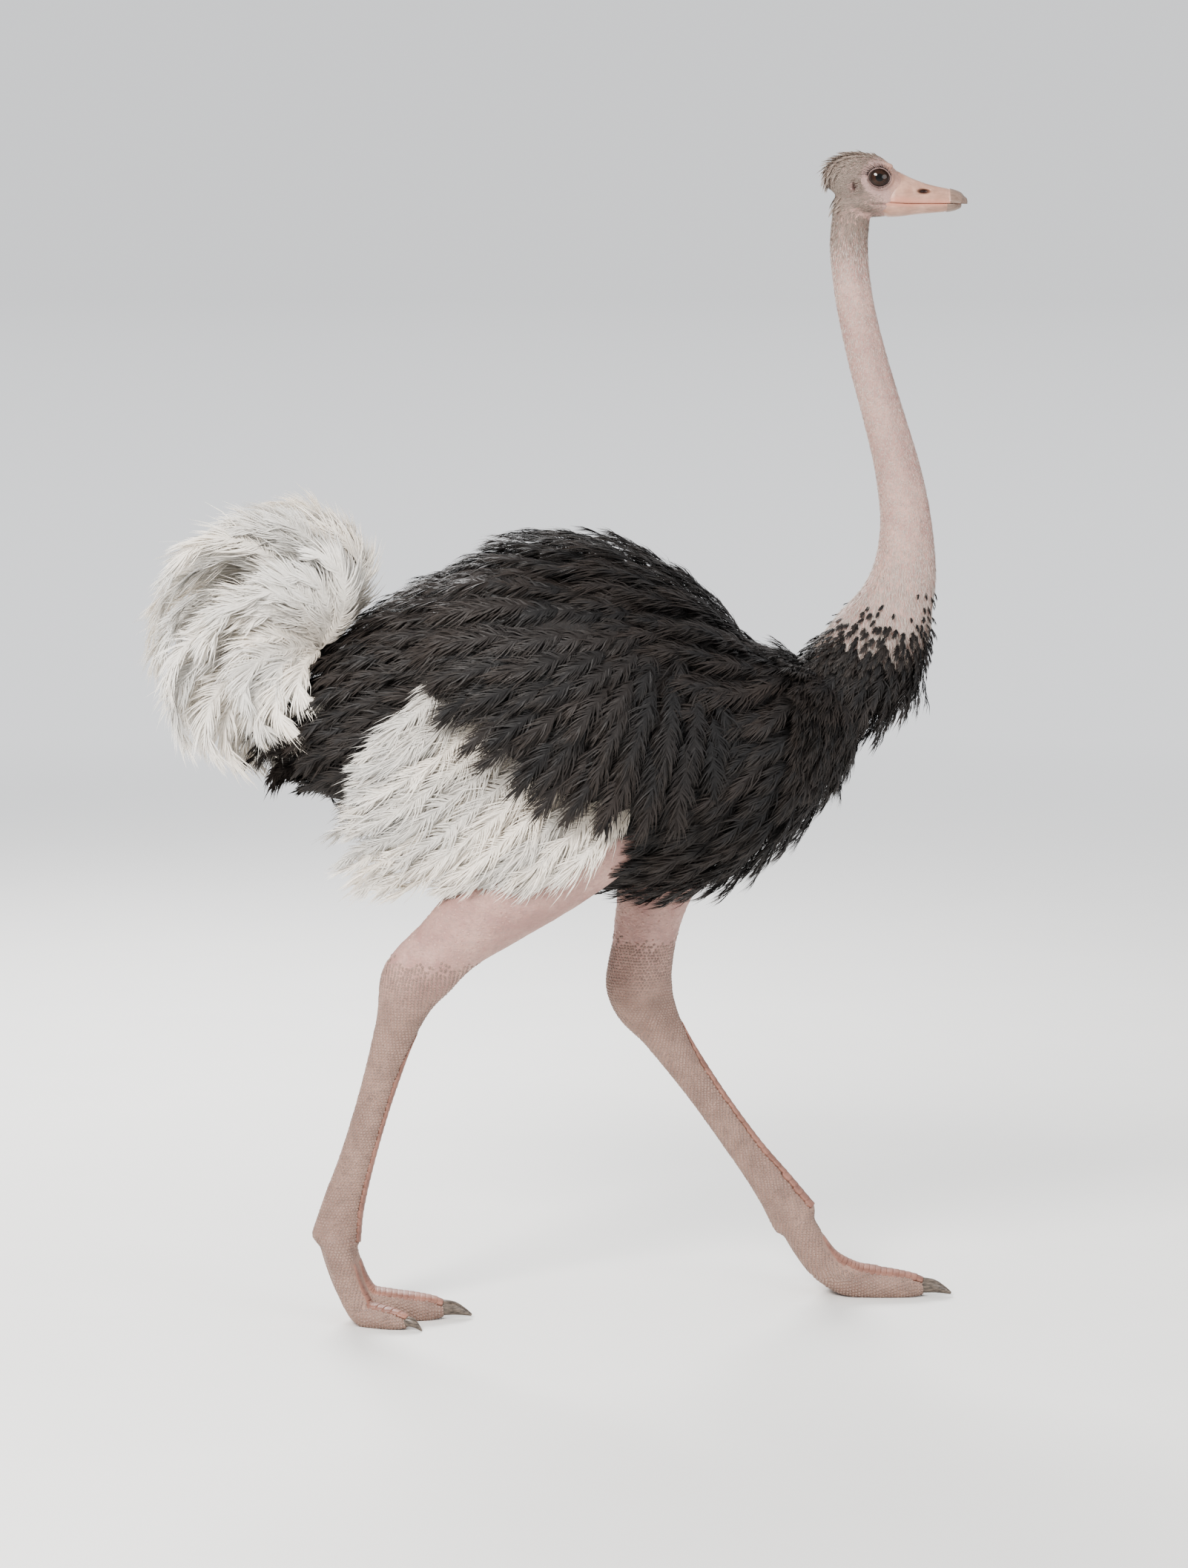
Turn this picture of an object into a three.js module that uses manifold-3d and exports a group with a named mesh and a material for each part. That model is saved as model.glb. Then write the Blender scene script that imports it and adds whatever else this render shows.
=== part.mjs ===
// Ostrich, adult male, in mid stride: a still, life-size model.
// Millimetres, +Z up. +X is the way the bird faces and +Y is its left side.
// The tables below measure x forward of a plumb line through the hips. The last lines move
// the bird so that its origin is the middle of the floor under its box.
import * as THREE from 'three';
import { mergeVertices } from 'three/addons/utils/BufferGeometryUtils.js';
import Module from 'manifold-3d';

const wasm = await Module();
wasm.setup();

// Driving sizes ---------------------------------------------------------------------------

const gap = 0.35;                 // clear space between neighbouring pieces
const degree = Math.PI / 180;

const headLength = 247;           // occiput to the tip of the bill
const headPlace = [424, 0, 1957]; // occiput's foot, at the height of the mouth line
const eyeRadius = 25;             // the eyeball is wider than it is deep
const eyeDepth = 19.5;

const neckCuts = [0.33, 0.6];    // where the neck is parted, as shares of its length
const hockShare = 0.5;            // where the leg is parted, as a share of its rows

const wingCentre = [15, 1105];    // x and z of the middle of the folded wing
const wingLong = 300;             // half length of the covert mass
const wingShort = 205;            // half height of the covert mass
const wingTilt = -35 * degree;
const wingBulge = 46;             // how far the coverts stand out from the flank
const wingEdge = 8;               // thickness of the coverts at their rim
const wingRootShare = 0.6;        // how deep the coverts' inner face lies, as a share of the flank
const scallops = 10;              // rounded covert tips round the wing's rim
const scallopDepth = 0.07;

const plumeCount = 7;             // white flight plumes that show on each wing
const plumeThick = 24;
const plumeNotch = 0.14;          // how deep the gaps between plume tips are cut, as a share
const plumeLift = 3;              // how far the plumes' inner face stands off the flank

const tailRoot = [-446, 0, 1190];
const tailHeart = [-556, 0, 1196]; // middle of the dense part of the tail
const tailHeartSize = [158, 96, 190];
const tailPlumes = 11;
const tailReach = [238, 92];      // shortest plume, and how much longer the middle ones are
const tailFan = [80 * degree, 244 * degree];
const tailSpread = 104;           // sideways reach of the outer tail plumes
const tailTwist = 2.4;            // radians between the sideways turns of two neighbours
const tailArch = 24 * degree;     // how much steeper a plume starts than it ends
const tailPlumeSize = [40, 46];   // half thickness and half width of a plume
const tailTip = 0.72;             // how much a plume narrows just before its rounded tip

const ballDome = 26;              // rounding below the ball of the foot
const toeHeading = [3 * degree, 24 * degree];  // big toe turns out, small toe turns in
const toeAside = [7, 17];         // how far each toe starts from the middle of the foot
const toeBend = 60;               // forward run over which that distance narrows
const ankleFall = { right: 46, left: 84 };     // forward run of the foot's steep first bone

// Finishes --------------------------------------------------------------------------------

const finish = (color, roughness) => new THREE.MeshStandardMaterial({ color, roughness, metalness: 0 });
const bareSkin = () => finish(0xb78f84, 0.75);
const blackFeather = () => finish(0x1d1b1c, 0.85);
const whiteFeather = () => finish(0xe8e3d8, 0.85);
const billHorn = () => finish(0xc39a80, 0.45);
const legScale = () => finish(0xb08272, 0.6);
const clawHorn = () => finish(0x4b4037, 0.4);
const eyeGloss = () => finish(0x2a1608, 0.08);

// Solids and meshes -----------------------------------------------------------------------

// A closed geometry becomes a solid that can be joined and cut.
function solidOf(geometry) {
  const plain = geometry.clone();
  plain.deleteAttribute('normal');
  plain.deleteAttribute('uv');
  const merged = mergeVertices(plain, 1e-4);
  const vertProperties = new Float32Array(merged.attributes.position.array);
  const triVerts = new Uint32Array(merged.index.array);
  return new wasm.Manifold(new wasm.Mesh({ numProp: 3, vertProperties, triVerts }));
}

// A solid becomes a named mesh with its finish.
function meshOf(name, solid, material) {
  const data = solid.getMesh();
  const geometry = new THREE.BufferGeometry();
  geometry.setAttribute('position', new THREE.BufferAttribute(new Float32Array(data.vertProperties), 3));
  geometry.setIndex(new THREE.BufferAttribute(new Uint32Array(data.triVerts), 1));
  geometry.computeVertexNormals();
  const mesh = new THREE.Mesh(geometry, material);
  mesh.name = name;
  return mesh;
}

function cutBy(solid, ...others) {
  return others.reduce((left, other) => left.subtract(other), solid);
}

function geometryOf(points, triangles) {
  const geometry = new THREE.BufferGeometry();
  geometry.setAttribute('position', new THREE.Float32BufferAttribute(points.flat(), 3));
  geometry.setIndex(triangles.flat());
  return geometry;
}

// The same shape on the bird's left side.
function mirrored(geometry) {
  const copy = geometry.clone().scale(1, -1, 1);
  const index = copy.index.array;
  for (let i = 0; i < index.length; i += 3) {
    [index[i], index[i + 1]] = [index[i + 1], index[i]];
  }
  return copy;
}

// Lofts -----------------------------------------------------------------------------------

// A row is [x, y, z, up, down, across]: a point of the middle line, then how far the section
// reaches to its upper side, to its lower side and to either side.
function rowCurve(rows) {
  const through = (first) => new THREE.CatmullRomCurve3(
    rows.map((row) => new THREE.Vector3(row[first], row[first + 1], row[first + 2])),
    false, 'catmullrom', 0.5);
  return { place: through(0), size: through(3) };
}

function signedPower(value, power) {
  return Math.sign(value) * Math.abs(value) ** power;
}

// A skin over the rows: rings of points, closed by a dome or a flat cap at either end.
//   from, to   the stretch of the rows that is used, 0 to 1
//   upright    true keeps every section in a plane across X
//   domes      how far the first and last domes stand out; 0 is a flat cap
//   grow       widens the whole skin, to cut a neighbour with
function loft(rows, options) {
  const {
    steps, sides, from = 0, to = 1, upright = false, domes = [0, 0], squareness = 2, grow = 0,
  } = options;
  const { place, size } = rowCurve(rows);
  const domeRings = 2;
  const stations = [];
  const stationAt = (t) => {
    const tangent = upright ? new THREE.Vector3(1, 0, 0) : place.getTangent(t).normalize();
    return { centre: place.getPoint(t), tangent, reach: size.getPoint(t).addScalar(grow) };
  };
  const addDome = (station, sign, length) => {
    const order = sign < 0 ? [2, 1] : [1, 2];
    for (const ring of order) {
      const angle = (ring / (domeRings + 1)) * 90 * degree;
      const centre = station.centre.clone()
        .addScaledVector(station.tangent, sign * (length + grow) * Math.sin(angle));
      const reach = station.reach.clone().multiplyScalar(Math.cos(angle));
      stations.push({ centre, tangent: station.tangent, reach });
    }
  };
  const poleOf = (station, sign, length) => station.centre.clone()
    .addScaledVector(station.tangent, sign * (length + grow));

  const first = stationAt(from);
  const last = stationAt(to);
  if (domes[0] > 0) addDome(first, -1, domes[0]);
  for (let step = 0; step <= steps; step += 1) {
    stations.push(stationAt(from + (to - from) * (step / steps)));
  }
  if (domes[1] > 0) addDome(last, 1, domes[1]);

  const points = [];
  for (const { centre, tangent, reach } of stations) {
    const across = new THREE.Vector3(0, 1, 0).addScaledVector(tangent, -tangent.y).normalize();
    const depth = tangent.clone().cross(across);
    for (let side = 0; side < sides; side += 1) {
      const angle = (side / sides) * 360 * degree;
      const up = signedPower(Math.cos(angle), 2 / squareness);
      const out = signedPower(Math.sin(angle), 2 / squareness);
      const point = centre.clone()
        .addScaledVector(depth, up * (up > 0 ? reach.x : reach.y))
        .addScaledVector(across, out * reach.z);
      points.push(point.toArray());
    }
  }
  const triangles = [];
  for (let ring = 0; ring + 1 < stations.length; ring += 1) {
    for (let side = 0; side < sides; side += 1) {
      const next = (side + 1) % sides;
      const [a, b] = [ring * sides + side, ring * sides + next];
      const [c, d] = [a + sides, b + sides];
      triangles.push([a, d, b], [a, c, d]);
    }
  }
  const firstPole = points.push(poleOf(first, -1, domes[0]).toArray()) - 1;
  const lastPole = points.push(poleOf(last, 1, domes[1]).toArray()) - 1;
  const lastRing = (stations.length - 1) * sides;
  for (let side = 0; side < sides; side += 1) {
    const next = (side + 1) % sides;
    triangles.push([firstPole, side, next], [lastPole, lastRing + next, lastRing + side]);
  }
  return geometryOf(points, triangles);
}

// A closed shell around two poles: pointAt(ring, angle) runs from ring 0 to ring 1.
function poledShell(rings, sides, pointAt) {
  const points = [pointAt(0, 0), pointAt(1, 0)];
  const triangles = [];
  for (let ring = 1; ring < rings; ring += 1) {
    for (let side = 0; side < sides; side += 1) {
      points.push(pointAt(ring / rings, (side / sides) * 360 * degree));
    }
  }
  const at = (ring, side) => 2 + (ring - 1) * sides + (side % sides);
  for (let side = 0; side < sides; side += 1) {
    triangles.push([0, at(1, side), at(1, side + 1)]);
    triangles.push([1, at(rings - 1, side + 1), at(rings - 1, side)]);
    for (let ring = 1; ring < rings - 1; ring += 1) {
      triangles.push([at(ring, side), at(ring + 1, side), at(ring + 1, side + 1)]);
      triangles.push([at(ring, side), at(ring + 1, side + 1), at(ring, side + 1)]);
    }
  }
  return geometryOf(points, triangles);
}

// A closed sheet with an outer and an inner face over a grid of columns and rows.
function sheet(columns, rows, outerAt, innerAt) {
  const points = [];
  const triangles = [];
  const wide = rows + 1;
  for (const faceAt of [outerAt, innerAt]) {
    for (let column = 0; column <= columns; column += 1) {
      for (let row = 0; row <= rows; row += 1) {
        points.push(faceAt(column / columns, row / rows));
      }
    }
  }
  const inner = (columns + 1) * wide;
  const quad = (a, b, c, d) => triangles.push([a, b, c], [a, c, d]);
  for (let column = 0; column < columns; column += 1) {
    for (let row = 0; row < rows; row += 1) {
      const a = column * wide + row;
      quad(a, a + 1, a + wide + 1, a + wide);
      quad(inner + a, inner + a + wide, inner + a + wide + 1, inner + a + 1);
    }
  }
  for (let column = 0; column < columns; column += 1) {
    const a = column * wide;
    quad(a, a + wide, inner + a + wide, inner + a);
    quad(a + rows, inner + a + rows, inner + a + wide + rows, a + wide + rows);
  }
  for (let row = 0; row < rows; row += 1) {
    const last = columns * wide + row;
    quad(row, inner + row, inner + row + 1, row + 1);
    quad(last, last + 1, inner + last + 1, inner + last);
  }
  return geometryOf(points, triangles);
}

// Trunk -----------------------------------------------------------------------------------

// [x, top, bottom, half width] of the plumage, from the rump to the breast.
const trunkProfile = [
  [-528, 1092, 1040, 34],
  [-490, 1166, 962, 98],
  [-412, 1240, 902, 150],
  [-300, 1308, 842, 195],
  [-170, 1364, 795, 226],
  [-30, 1396, 762, 240],
  [110, 1374, 750, 238],
  [240, 1303, 757, 218],
  [350, 1226, 806, 185],
  [450, 1208, 900, 148],
  [540, 1212, 1010, 112],
  [600, 1206, 1100, 66],
];
const trunkWaist = 0.52;          // height of the widest line, as a share of the depth
const trunkSquareness = 2.3;
const trunkRows = trunkProfile.map(([x, top, bottom, width]) => {
  const waist = bottom + (top - bottom) * trunkWaist;
  return [x, 0, waist, top - waist, waist - bottom, width];
});
const trunkShape = (grow) => loft(trunkRows, {
  steps: 14, sides: 18, upright: true, domes: [14, 14], squareness: trunkSquareness, grow,
});
const trunkCurve = rowCurve(trunkRows);

// Where the row with this x lies along the trunk, found by halving.
function trunkShareAt(x) {
  let [low, high] = [0, 1];
  for (let i = 0; i < 24; i += 1) {
    const middle = (low + high) / 2;
    if (trunkCurve.place.getPoint(middle).x < x) low = middle;
    else high = middle;
  }
  return low;
}

// How far the flank reaches out at x and z. Below its widest line a feather hangs straight.
function flankAt(x, z) {
  const share = trunkShareAt(x);
  const waist = trunkCurve.place.getPoint(share).z;
  const reach = trunkCurve.size.getPoint(share);
  const lift = Math.min(Math.max(z - waist, 0) / reach.x, 0.98);
  return reach.z * (1 - lift ** trunkSquareness) ** (1 / trunkSquareness);
}

const trunkSolid = solidOf(trunkShape(0));
const trunkCutter = solidOf(trunkShape(gap));

// Neck ------------------------------------------------------------------------------------

// [x, z, half depth, half width] from the breast up into the skull.
const neckProfile = [
  [462, 1122, 92, 76],
  [527, 1204, 95, 76],
  [562, 1290, 69, 58],
  [571, 1385, 53, 47],
  [556, 1490, 46, 42],
  [529, 1590, 42, 38],
  [500, 1690, 40, 36],
  [477, 1790, 38, 34],
  [467, 1880, 38, 34],
  [473, 1950, 39, 34],
  [484, 2012, 37, 30],
];
const neckRows = neckProfile.map(([x, z, depth, width]) => [x, 0, z, depth, depth, width]);
const neckLength = rowCurve(neckRows).place.getLength();
const neckPart = (from, to, grow = 0) => loft(neckRows, {
  steps: Math.round(16 * (to - from)), sides: 14, from, to, grow,
});

// Head ------------------------------------------------------------------------------------

// The head's own frame: x forward of the occiput, z above the mouth line, in shares of the
// head's length in thousandths. [x, z of the widest line, up, down, half width]
const headProfile = [
  [34, 192, 94, 96, 96],
  [92, 184, 142, 146, 132],
  [178, 172, 180, 222, 156],
  [272, 170, 188, 266, 163],
  [374, 168, 172, 276, 158],
  [450, 146, 142, 248, 145],
  [508, 104, 128, 194, 130],
  [552, 78, 116, 162, 114],
];
// [x, height of the ridge, half width]
const upperBillProfile = [
  [478, 232, 133],
  [552, 198, 131],
  [638, 160, 123],
  [722, 131, 114],
  [806, 111, 106],
  [890, 95, 95],
  [950, 77, 80],
  [976, 58, 62],
];
const lowerBillProfile = [
  [415, 104, 126],
  [510, 96, 126],
  [638, 77, 116],
  [764, 66, 104],
  [870, 56, 89],
  [934, 42, 68],
];
const eyePlace = [374, 95, 180];
const earPlace = [215, 152, 118];
const nostrilPlace = [690, 92, 84];
const earSize = [9, 5, 7];        // half sizes, in millimetres
const nostrilSize = [10, 5, 4];
const mouthGap = 0.25;            // each half of the bill stands this far from the mouth line

const headUnit = headLength / 1000;
const headRow = ([x, middle, up, down, width]) => [x, 0, middle, up, down, width]
  .map((value) => value * headUnit);
const upperBillRow = ([x, up, width]) => [
  x * headUnit, 0, mouthGap, up * headUnit - mouthGap, 0, width * headUnit];
const lowerBillRow = ([x, down, width]) => [
  x * headUnit, 0, -mouthGap, 0, down * headUnit - mouthGap, width * headUnit];

const headShape = (grow) => loft(headProfile.map(headRow), {
  steps: 9, sides: 14, upright: true, domes: [8, 7], squareness: 2.15, grow,
});
const billShape = (rows) => loft(rows, {
  steps: 7, sides: 12, upright: true, domes: [0, 6], squareness: 2.1,
});

// A ball stretched to three half sizes and set at a place.
function ellipsoid(place, halfSizes, around = 14, down = 7) {
  const geometry = new THREE.SphereGeometry(1, around, down);
  geometry.rotateX(Math.PI / 2);
  return geometry.scale(...halfSizes).translate(...place);
}

const inHead = (place, side) => [place[0] * headUnit, side * place[1] * headUnit, place[2] * headUnit];
const eyeShape = (side, grow) => ellipsoid(inHead(eyePlace, side),
  [eyeRadius + grow, eyeDepth + grow, eyeRadius + grow]);

const headMatrix = new THREE.Matrix4().makeTranslation(...headPlace);
const headCutter = solidOf(headShape(gap));
const headCutterPlaced = solidOf(headShape(gap).applyMatrix4(headMatrix));

function makeHead() {
  const head = new THREE.Group();
  head.position.set(...headPlace);
  const skull = cutBy(solidOf(headShape(0)), solidOf(eyeShape(-1, gap)), solidOf(eyeShape(1, gap)));
  head.add(meshOf('head', skull, bareSkin()));

  const nostrils = [-1, 1].map((side) => solidOf(
    ellipsoid(inHead(nostrilPlace, side), nostrilSize, 8, 4)));
  const upper = solidOf(billShape(upperBillProfile.map(upperBillRow)));
  const lower = solidOf(billShape(lowerBillProfile.map(lowerBillRow)));
  head.add(meshOf('bill_upper', cutBy(upper, headCutter, ...nostrils), billHorn()));
  head.add(meshOf('bill_lower', cutBy(lower, headCutter), billHorn()));

  for (const [side, word] of [[-1, 'right'], [1, 'left']]) {
    head.add(meshOf(`eye_${word}`, solidOf(eyeShape(side, 0)), eyeGloss()));
    const ear = solidOf(ellipsoid(inHead(earPlace, side), earSize, 10, 6));
    head.add(meshOf(`ear_${word}`, cutBy(ear, headCutter), bareSkin()));
  }
  return head;
}

function makeNeck() {
  const neck = new THREE.Group();
  const half = gap / 2 / neckLength;
  const [lowCut, highCut] = neckCuts;
  const lower = cutBy(solidOf(neckPart(0, lowCut - half)), trunkCutter);
  const middle = solidOf(neckPart(lowCut + half, highCut - half));
  const upper = cutBy(solidOf(neckPart(highCut + half, 1)), headCutterPlaced);
  neck.add(meshOf('neck_lower', lower, bareSkin()));
  neck.add(meshOf('neck_middle', middle, bareSkin()));
  neck.add(meshOf('neck_upper', upper, bareSkin()));
  return neck;
}

// Wings -----------------------------------------------------------------------------------

// The covert mass: an oval cushion over the flank with a scalloped rim.
function covertShape(grow) {
  return poledShell(8, 30, (ring, angle) => {
    const outside = ring <= 0.5;
    const spread = 1 - Math.abs(2 * ring - 1);
    const rim = 1 + scallopDepth * spread ** 4 * (Math.abs(Math.cos(angle * scallops / 2)) - 0.5);
    const long = (wingLong + grow) * spread * rim * Math.cos(angle);
    const short = (wingShort + grow) * spread * rim * Math.sin(angle);
    const x = wingCentre[0] + long * Math.cos(wingTilt) - short * Math.sin(wingTilt);
    const z = wingCentre[1] + long * Math.sin(wingTilt) + short * Math.cos(wingTilt);
    const flank = flankAt(x, z);
    const bulge = wingEdge + wingBulge * Math.sqrt(Math.max(1 - spread ** 3, 0)) + grow;
    const y = outside ? flank + bulge : flank * wingRootShare;
    return [x, -y, z];
  });
}

// The flight plumes: one sheet whose lower edge is cut into rounded tips.
const plumeRoots = [[-205, 1215], [-150, 1090], [-60, 985], [70, 905]];
const plumeTips = [[-350, 1040], [-408, 925], [-400, 782], [-225, 772], [-50, 792]];
const flatCurve = (points) => new THREE.SplineCurve(points.map(([x, z]) => new THREE.Vector2(x, z)));
const rootLine = flatCurve(plumeRoots);
const tipLine = flatCurve(plumeTips);
function plumeShape() {
  const faceAt = (thickShare) => (across, along) => {
    const rib = Math.abs(Math.cos((across * plumeCount + 0.5) * Math.PI));
    const crown = 1 - rib ** 2;
    const reach = along * (1 - plumeNotch * (1 - Math.sqrt(crown)));
    const point = rootLine.getPoint(across).lerp(tipLine.getPoint(across), reach);
    const flank = flankAt(point.x, point.y);
    const thick = plumeThick * (0.45 + 0.55 * crown) * (1 - 0.6 * along ** 3);
    return [point.x, -(flank + plumeLift + thick * thickShare), point.y];
  };
  return sheet(plumeCount * 3, 4, faceAt(1), faceAt(0));
}

function makeWing(word, sided, thigh) {
  const wing = new THREE.Group();
  const coverts = cutBy(solidOf(sided(covertShape(0))), trunkCutter, thigh);
  const covertCutter = solidOf(sided(covertShape(gap)));
  const plumes = cutBy(solidOf(sided(plumeShape())), trunkCutter, covertCutter, thigh);
  wing.add(meshOf(`wing_${word}`, coverts, blackFeather()));
  wing.add(meshOf(`wing_${word}_plumes`, plumes, whiteFeather()));
  return wing;
}

// Tail ------------------------------------------------------------------------------------

// Each plume leaves the rump, arches over and droops; the plumes fan out in both planes.
function tailPlume(number) {
  const share = number / (tailPlumes - 1);
  const angle = tailFan[0] + (tailFan[1] - tailFan[0]) * share;
  const reach = tailReach[0] + tailReach[1] * Math.sin(share * Math.PI);
  const spread = tailSpread * (0.45 + 0.55 * Math.sin(share * Math.PI));
  const sideways = spread * Math.sin(number * tailTwist);
  const lift = angle - tailArch;
  const along = (direction, length, y) => new THREE.Vector3(
    tailRoot[0] + length * Math.cos(direction), y, tailRoot[2] + length * Math.sin(direction));
  const start = along(angle, 30, sideways * 0.15);
  const bow = along(lift, reach * 0.62, sideways * 0.7);
  const spine = new THREE.QuadraticBezierCurve3(start, bow, along(angle, reach, sideways));
  const rows = [0, 0.2, 0.4, 0.6, 0.8, 0.95].map((t) => {
    const point = spine.getPoint(t);
    const swell = 0.5 + 0.5 * Math.sin(Math.min(t * 1.25, 1) * 90 * degree);
    const [thick, wide] = tailPlumeSize.map((size) => size * swell * (t > 0.9 ? tailTip : 1));
    return [point.x, point.y, point.z, thick, thick, wide];
  });
  return solidOf(loft(rows, { steps: 4, sides: 6, domes: [0, 16] }));
}

function makeTail() {
  let tail = solidOf(ellipsoid(tailHeart, tailHeartSize, 14, 8));
  for (let number = 0; number < tailPlumes; number += 1) {
    tail = tail.add(tailPlume(number));
  }
  return meshOf('tail', cutBy(tail, trunkCutter), whiteFeather());
}

// Legs ------------------------------------------------------------------------------------

// [x, y, z, half depth, half width] from the knee, hidden in the body, to the ball of the foot.
const rightLegRows = [
  [100, -118, 980, 105, 80],
  [22, -120, 906, 116, 86],
  [-66, -118, 824, 102, 80],
  [-150, -112, 748, 80, 66],
  [-226, -104, 680, 61, 52],
  [-286, -95, 614, 58, 44],
  [-318, -90, 530, 39, 32],
  [-352, -84, 420, 31, 25],
  [-386, -78, 306, 31, 24],
  [-414, -73, 212, 37, 29],
  [-428, -70, 150, 44, 37],
];
const leftLegRows = [
  [206, 118, 1080, 105, 80],
  [190, 122, 985, 116, 86],
  [166, 123, 880, 104, 80],
  [140, 122, 768, 78, 66],
  [119, 120, 656, 58, 50],
  [110, 118, 554, 58, 44],
  [152, 119, 478, 40, 32],
  [220, 121, 378, 31, 25],
  [296, 123, 270, 31, 24],
  [354, 124, 192, 37, 29],
  [388, 125, 140, 44, 37],
];
const legLoft = (rows, from, to, grow = 0) => loft(
  rows.map(([x, y, z, depth, width]) => [x, y, z, depth, depth, width]),
  { steps: 8, sides: 12, from, to, grow, domes: [0, to === 1 ? ballDome : 0] });

// A toe runs from the ball of the foot down a steep bone to the floor, then flat along it.
// steepBone is [share of the fall forward, share of the ball's height, half height, half width],
// flatBones are [forward of the bone's foot, z, half height, half width].
const steepBone = [[0, 1, 31, 32], [0.28, 0.7, 31, 32], [0.66, 0.4, 31, 32]];
const flatBones = [
  [0, 31, 32, 33],
  [42, 24, 29, 32],
  [82, 21, 26, 29],
  [116, 18, 22, 23],
  [134, 15, 17, 17],
];
const boneFoot = 1.15;            // where the flat bones start, as a share of the fall
const bigToe = { high: 1, wide: 1, long: 1 };
const smallToe = { high: 0.76, wide: 0.72, long: 0.64 };
function toeRows(ball, fall, { high, wide, long }) {
  const steep = steepBone.map(([run, rise, tall, broad]) => [fall * run, ball[2] * rise, tall, broad]);
  const flat = flatBones.map(([run, z, tall, broad]) => [
    fall * boneFoot + run * long, z * high, tall, broad]);
  return [...steep, ...flat].map(([forward, z, tall, broad]) => [forward, z, tall * high, broad * wide]);
}

// Sets a toe's rows in the bird's frame: heading is the toe's turn to the left, and it starts
// sideways from the ball's middle.
function placedToe(ball, rows, heading, sideways) {
  const [ahead, aside] = [Math.cos(heading), Math.sin(heading)];
  return rows.map(([forward, z, tall, broad]) => {
    const offset = sideways * (1 - Math.min(forward / toeBend, 1) * 0.35);
    return [ball[0] + forward * ahead, ball[1] + forward * aside + offset, z, tall, tall, broad];
  });
}

const floorSize = [2400, 1200, 400];
const floorBox = new THREE.BoxGeometry(...floorSize).translate(0, 0, -floorSize[2] / 2);
const floorCutter = solidOf(floorBox);

// A claw goes on from the toe's last row: [share of its length, rise, share of its thickness].
const clawBend = [[-0.13, 3, 1], [0.35, 2, 0.86], [0.7, -3, 0.55], [1, -9, 0.2]];
const clawNarrow = 0.85;          // width as a share of thickness
const innerClaw = { long: 46, thick: 13.5 };
const outerClaw = { long: 25, thick: 8.5 };
function clawRows(toe, { long, thick }) {
  const [before, last] = toe.slice(-2);
  const heading = Math.atan2(last[1] - before[1], last[0] - before[0]);
  return clawBend.map(([run, rise, share]) => {
    const x = last[0] + long * run * Math.cos(heading);
    const y = last[1] + long * run * Math.sin(heading);
    return [x, y, last[2] + rise, thick * share, thick * share, thick * share * clawNarrow];
  });
}

const toeLoft = (rows, grow = 0) => loft(rows, { steps: 7, sides: 8, domes: [0, 9], squareness: 2.3, grow });

function makeLeg(word, side, rows) {
  const leg = new THREE.Group();
  const half = gap / 2 / rowCurve(rows.map((row) => [...row, 0])).place.getLength();
  const thigh = cutBy(solidOf(legLoft(rows, 0, hockShare - half)), trunkCutter);
  const shank = solidOf(legLoft(rows, hockShare + half, 1));
  const shankCutter = solidOf(legLoft(rows, hockShare + half, 1, gap));
  leg.add(meshOf(`thigh_${word}`, thigh, bareSkin()));
  leg.add(meshOf(`shank_${word}`, shank, legScale()));

  const ball = rows[rows.length - 1];
  const fall = ankleFall[word];
  const inner = placedToe(ball, toeRows(ball, fall, bigToe), -side * toeHeading[0], -side * toeAside[0]);
  const outer = placedToe(ball, toeRows(ball, fall, smallToe), side * toeHeading[1], side * toeAside[1]);
  const innerCutter = solidOf(toeLoft(inner, gap));
  const innerSolid = cutBy(solidOf(toeLoft(inner)), shankCutter, floorCutter);
  const outerSolid = cutBy(solidOf(toeLoft(outer)), shankCutter, innerCutter, floorCutter);
  leg.add(meshOf(`toe_inner_${word}`, innerSolid, legScale()));
  leg.add(meshOf(`toe_outer_${word}`, outerSolid, legScale()));

  const claws = [['inner', inner, innerClaw], ['outer', outer, outerClaw]];
  for (const [which, toe, size] of claws) {
    const claw = solidOf(loft(clawRows(toe, size), { steps: 3, sides: 6, domes: [0, 2] }));
    const toeCutter = solidOf(toeLoft(toe, gap));
    leg.add(meshOf(`claw_${which}_${word}`, cutBy(claw, toeCutter, floorCutter), clawHorn()));
  }
  return leg;
}

// The whole bird --------------------------------------------------------------------------

const thighCutter = (rows) => solidOf(legLoft(rows, 0, hockShare, gap));

const ostrich = new THREE.Group();
ostrich.add(makeHead());
ostrich.add(makeNeck());
ostrich.add(meshOf('trunk', trunkSolid, blackFeather()));
ostrich.add(makeTail());
ostrich.add(makeWing('right', (geometry) => geometry, thighCutter(rightLegRows)));
ostrich.add(makeWing('left', mirrored, thighCutter(leftLegRows)));
ostrich.add(makeLeg('right', -1, rightLegRows));
ostrich.add(makeLeg('left', 1, leftLegRows));

const box = new THREE.Box3().setFromObject(ostrich, true);
const middle = box.getCenter(new THREE.Vector3());
ostrich.position.set(-middle.x, -middle.y, -box.min.z);
ostrich.updateMatrixWorld(true);

export default ostrich;
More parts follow.
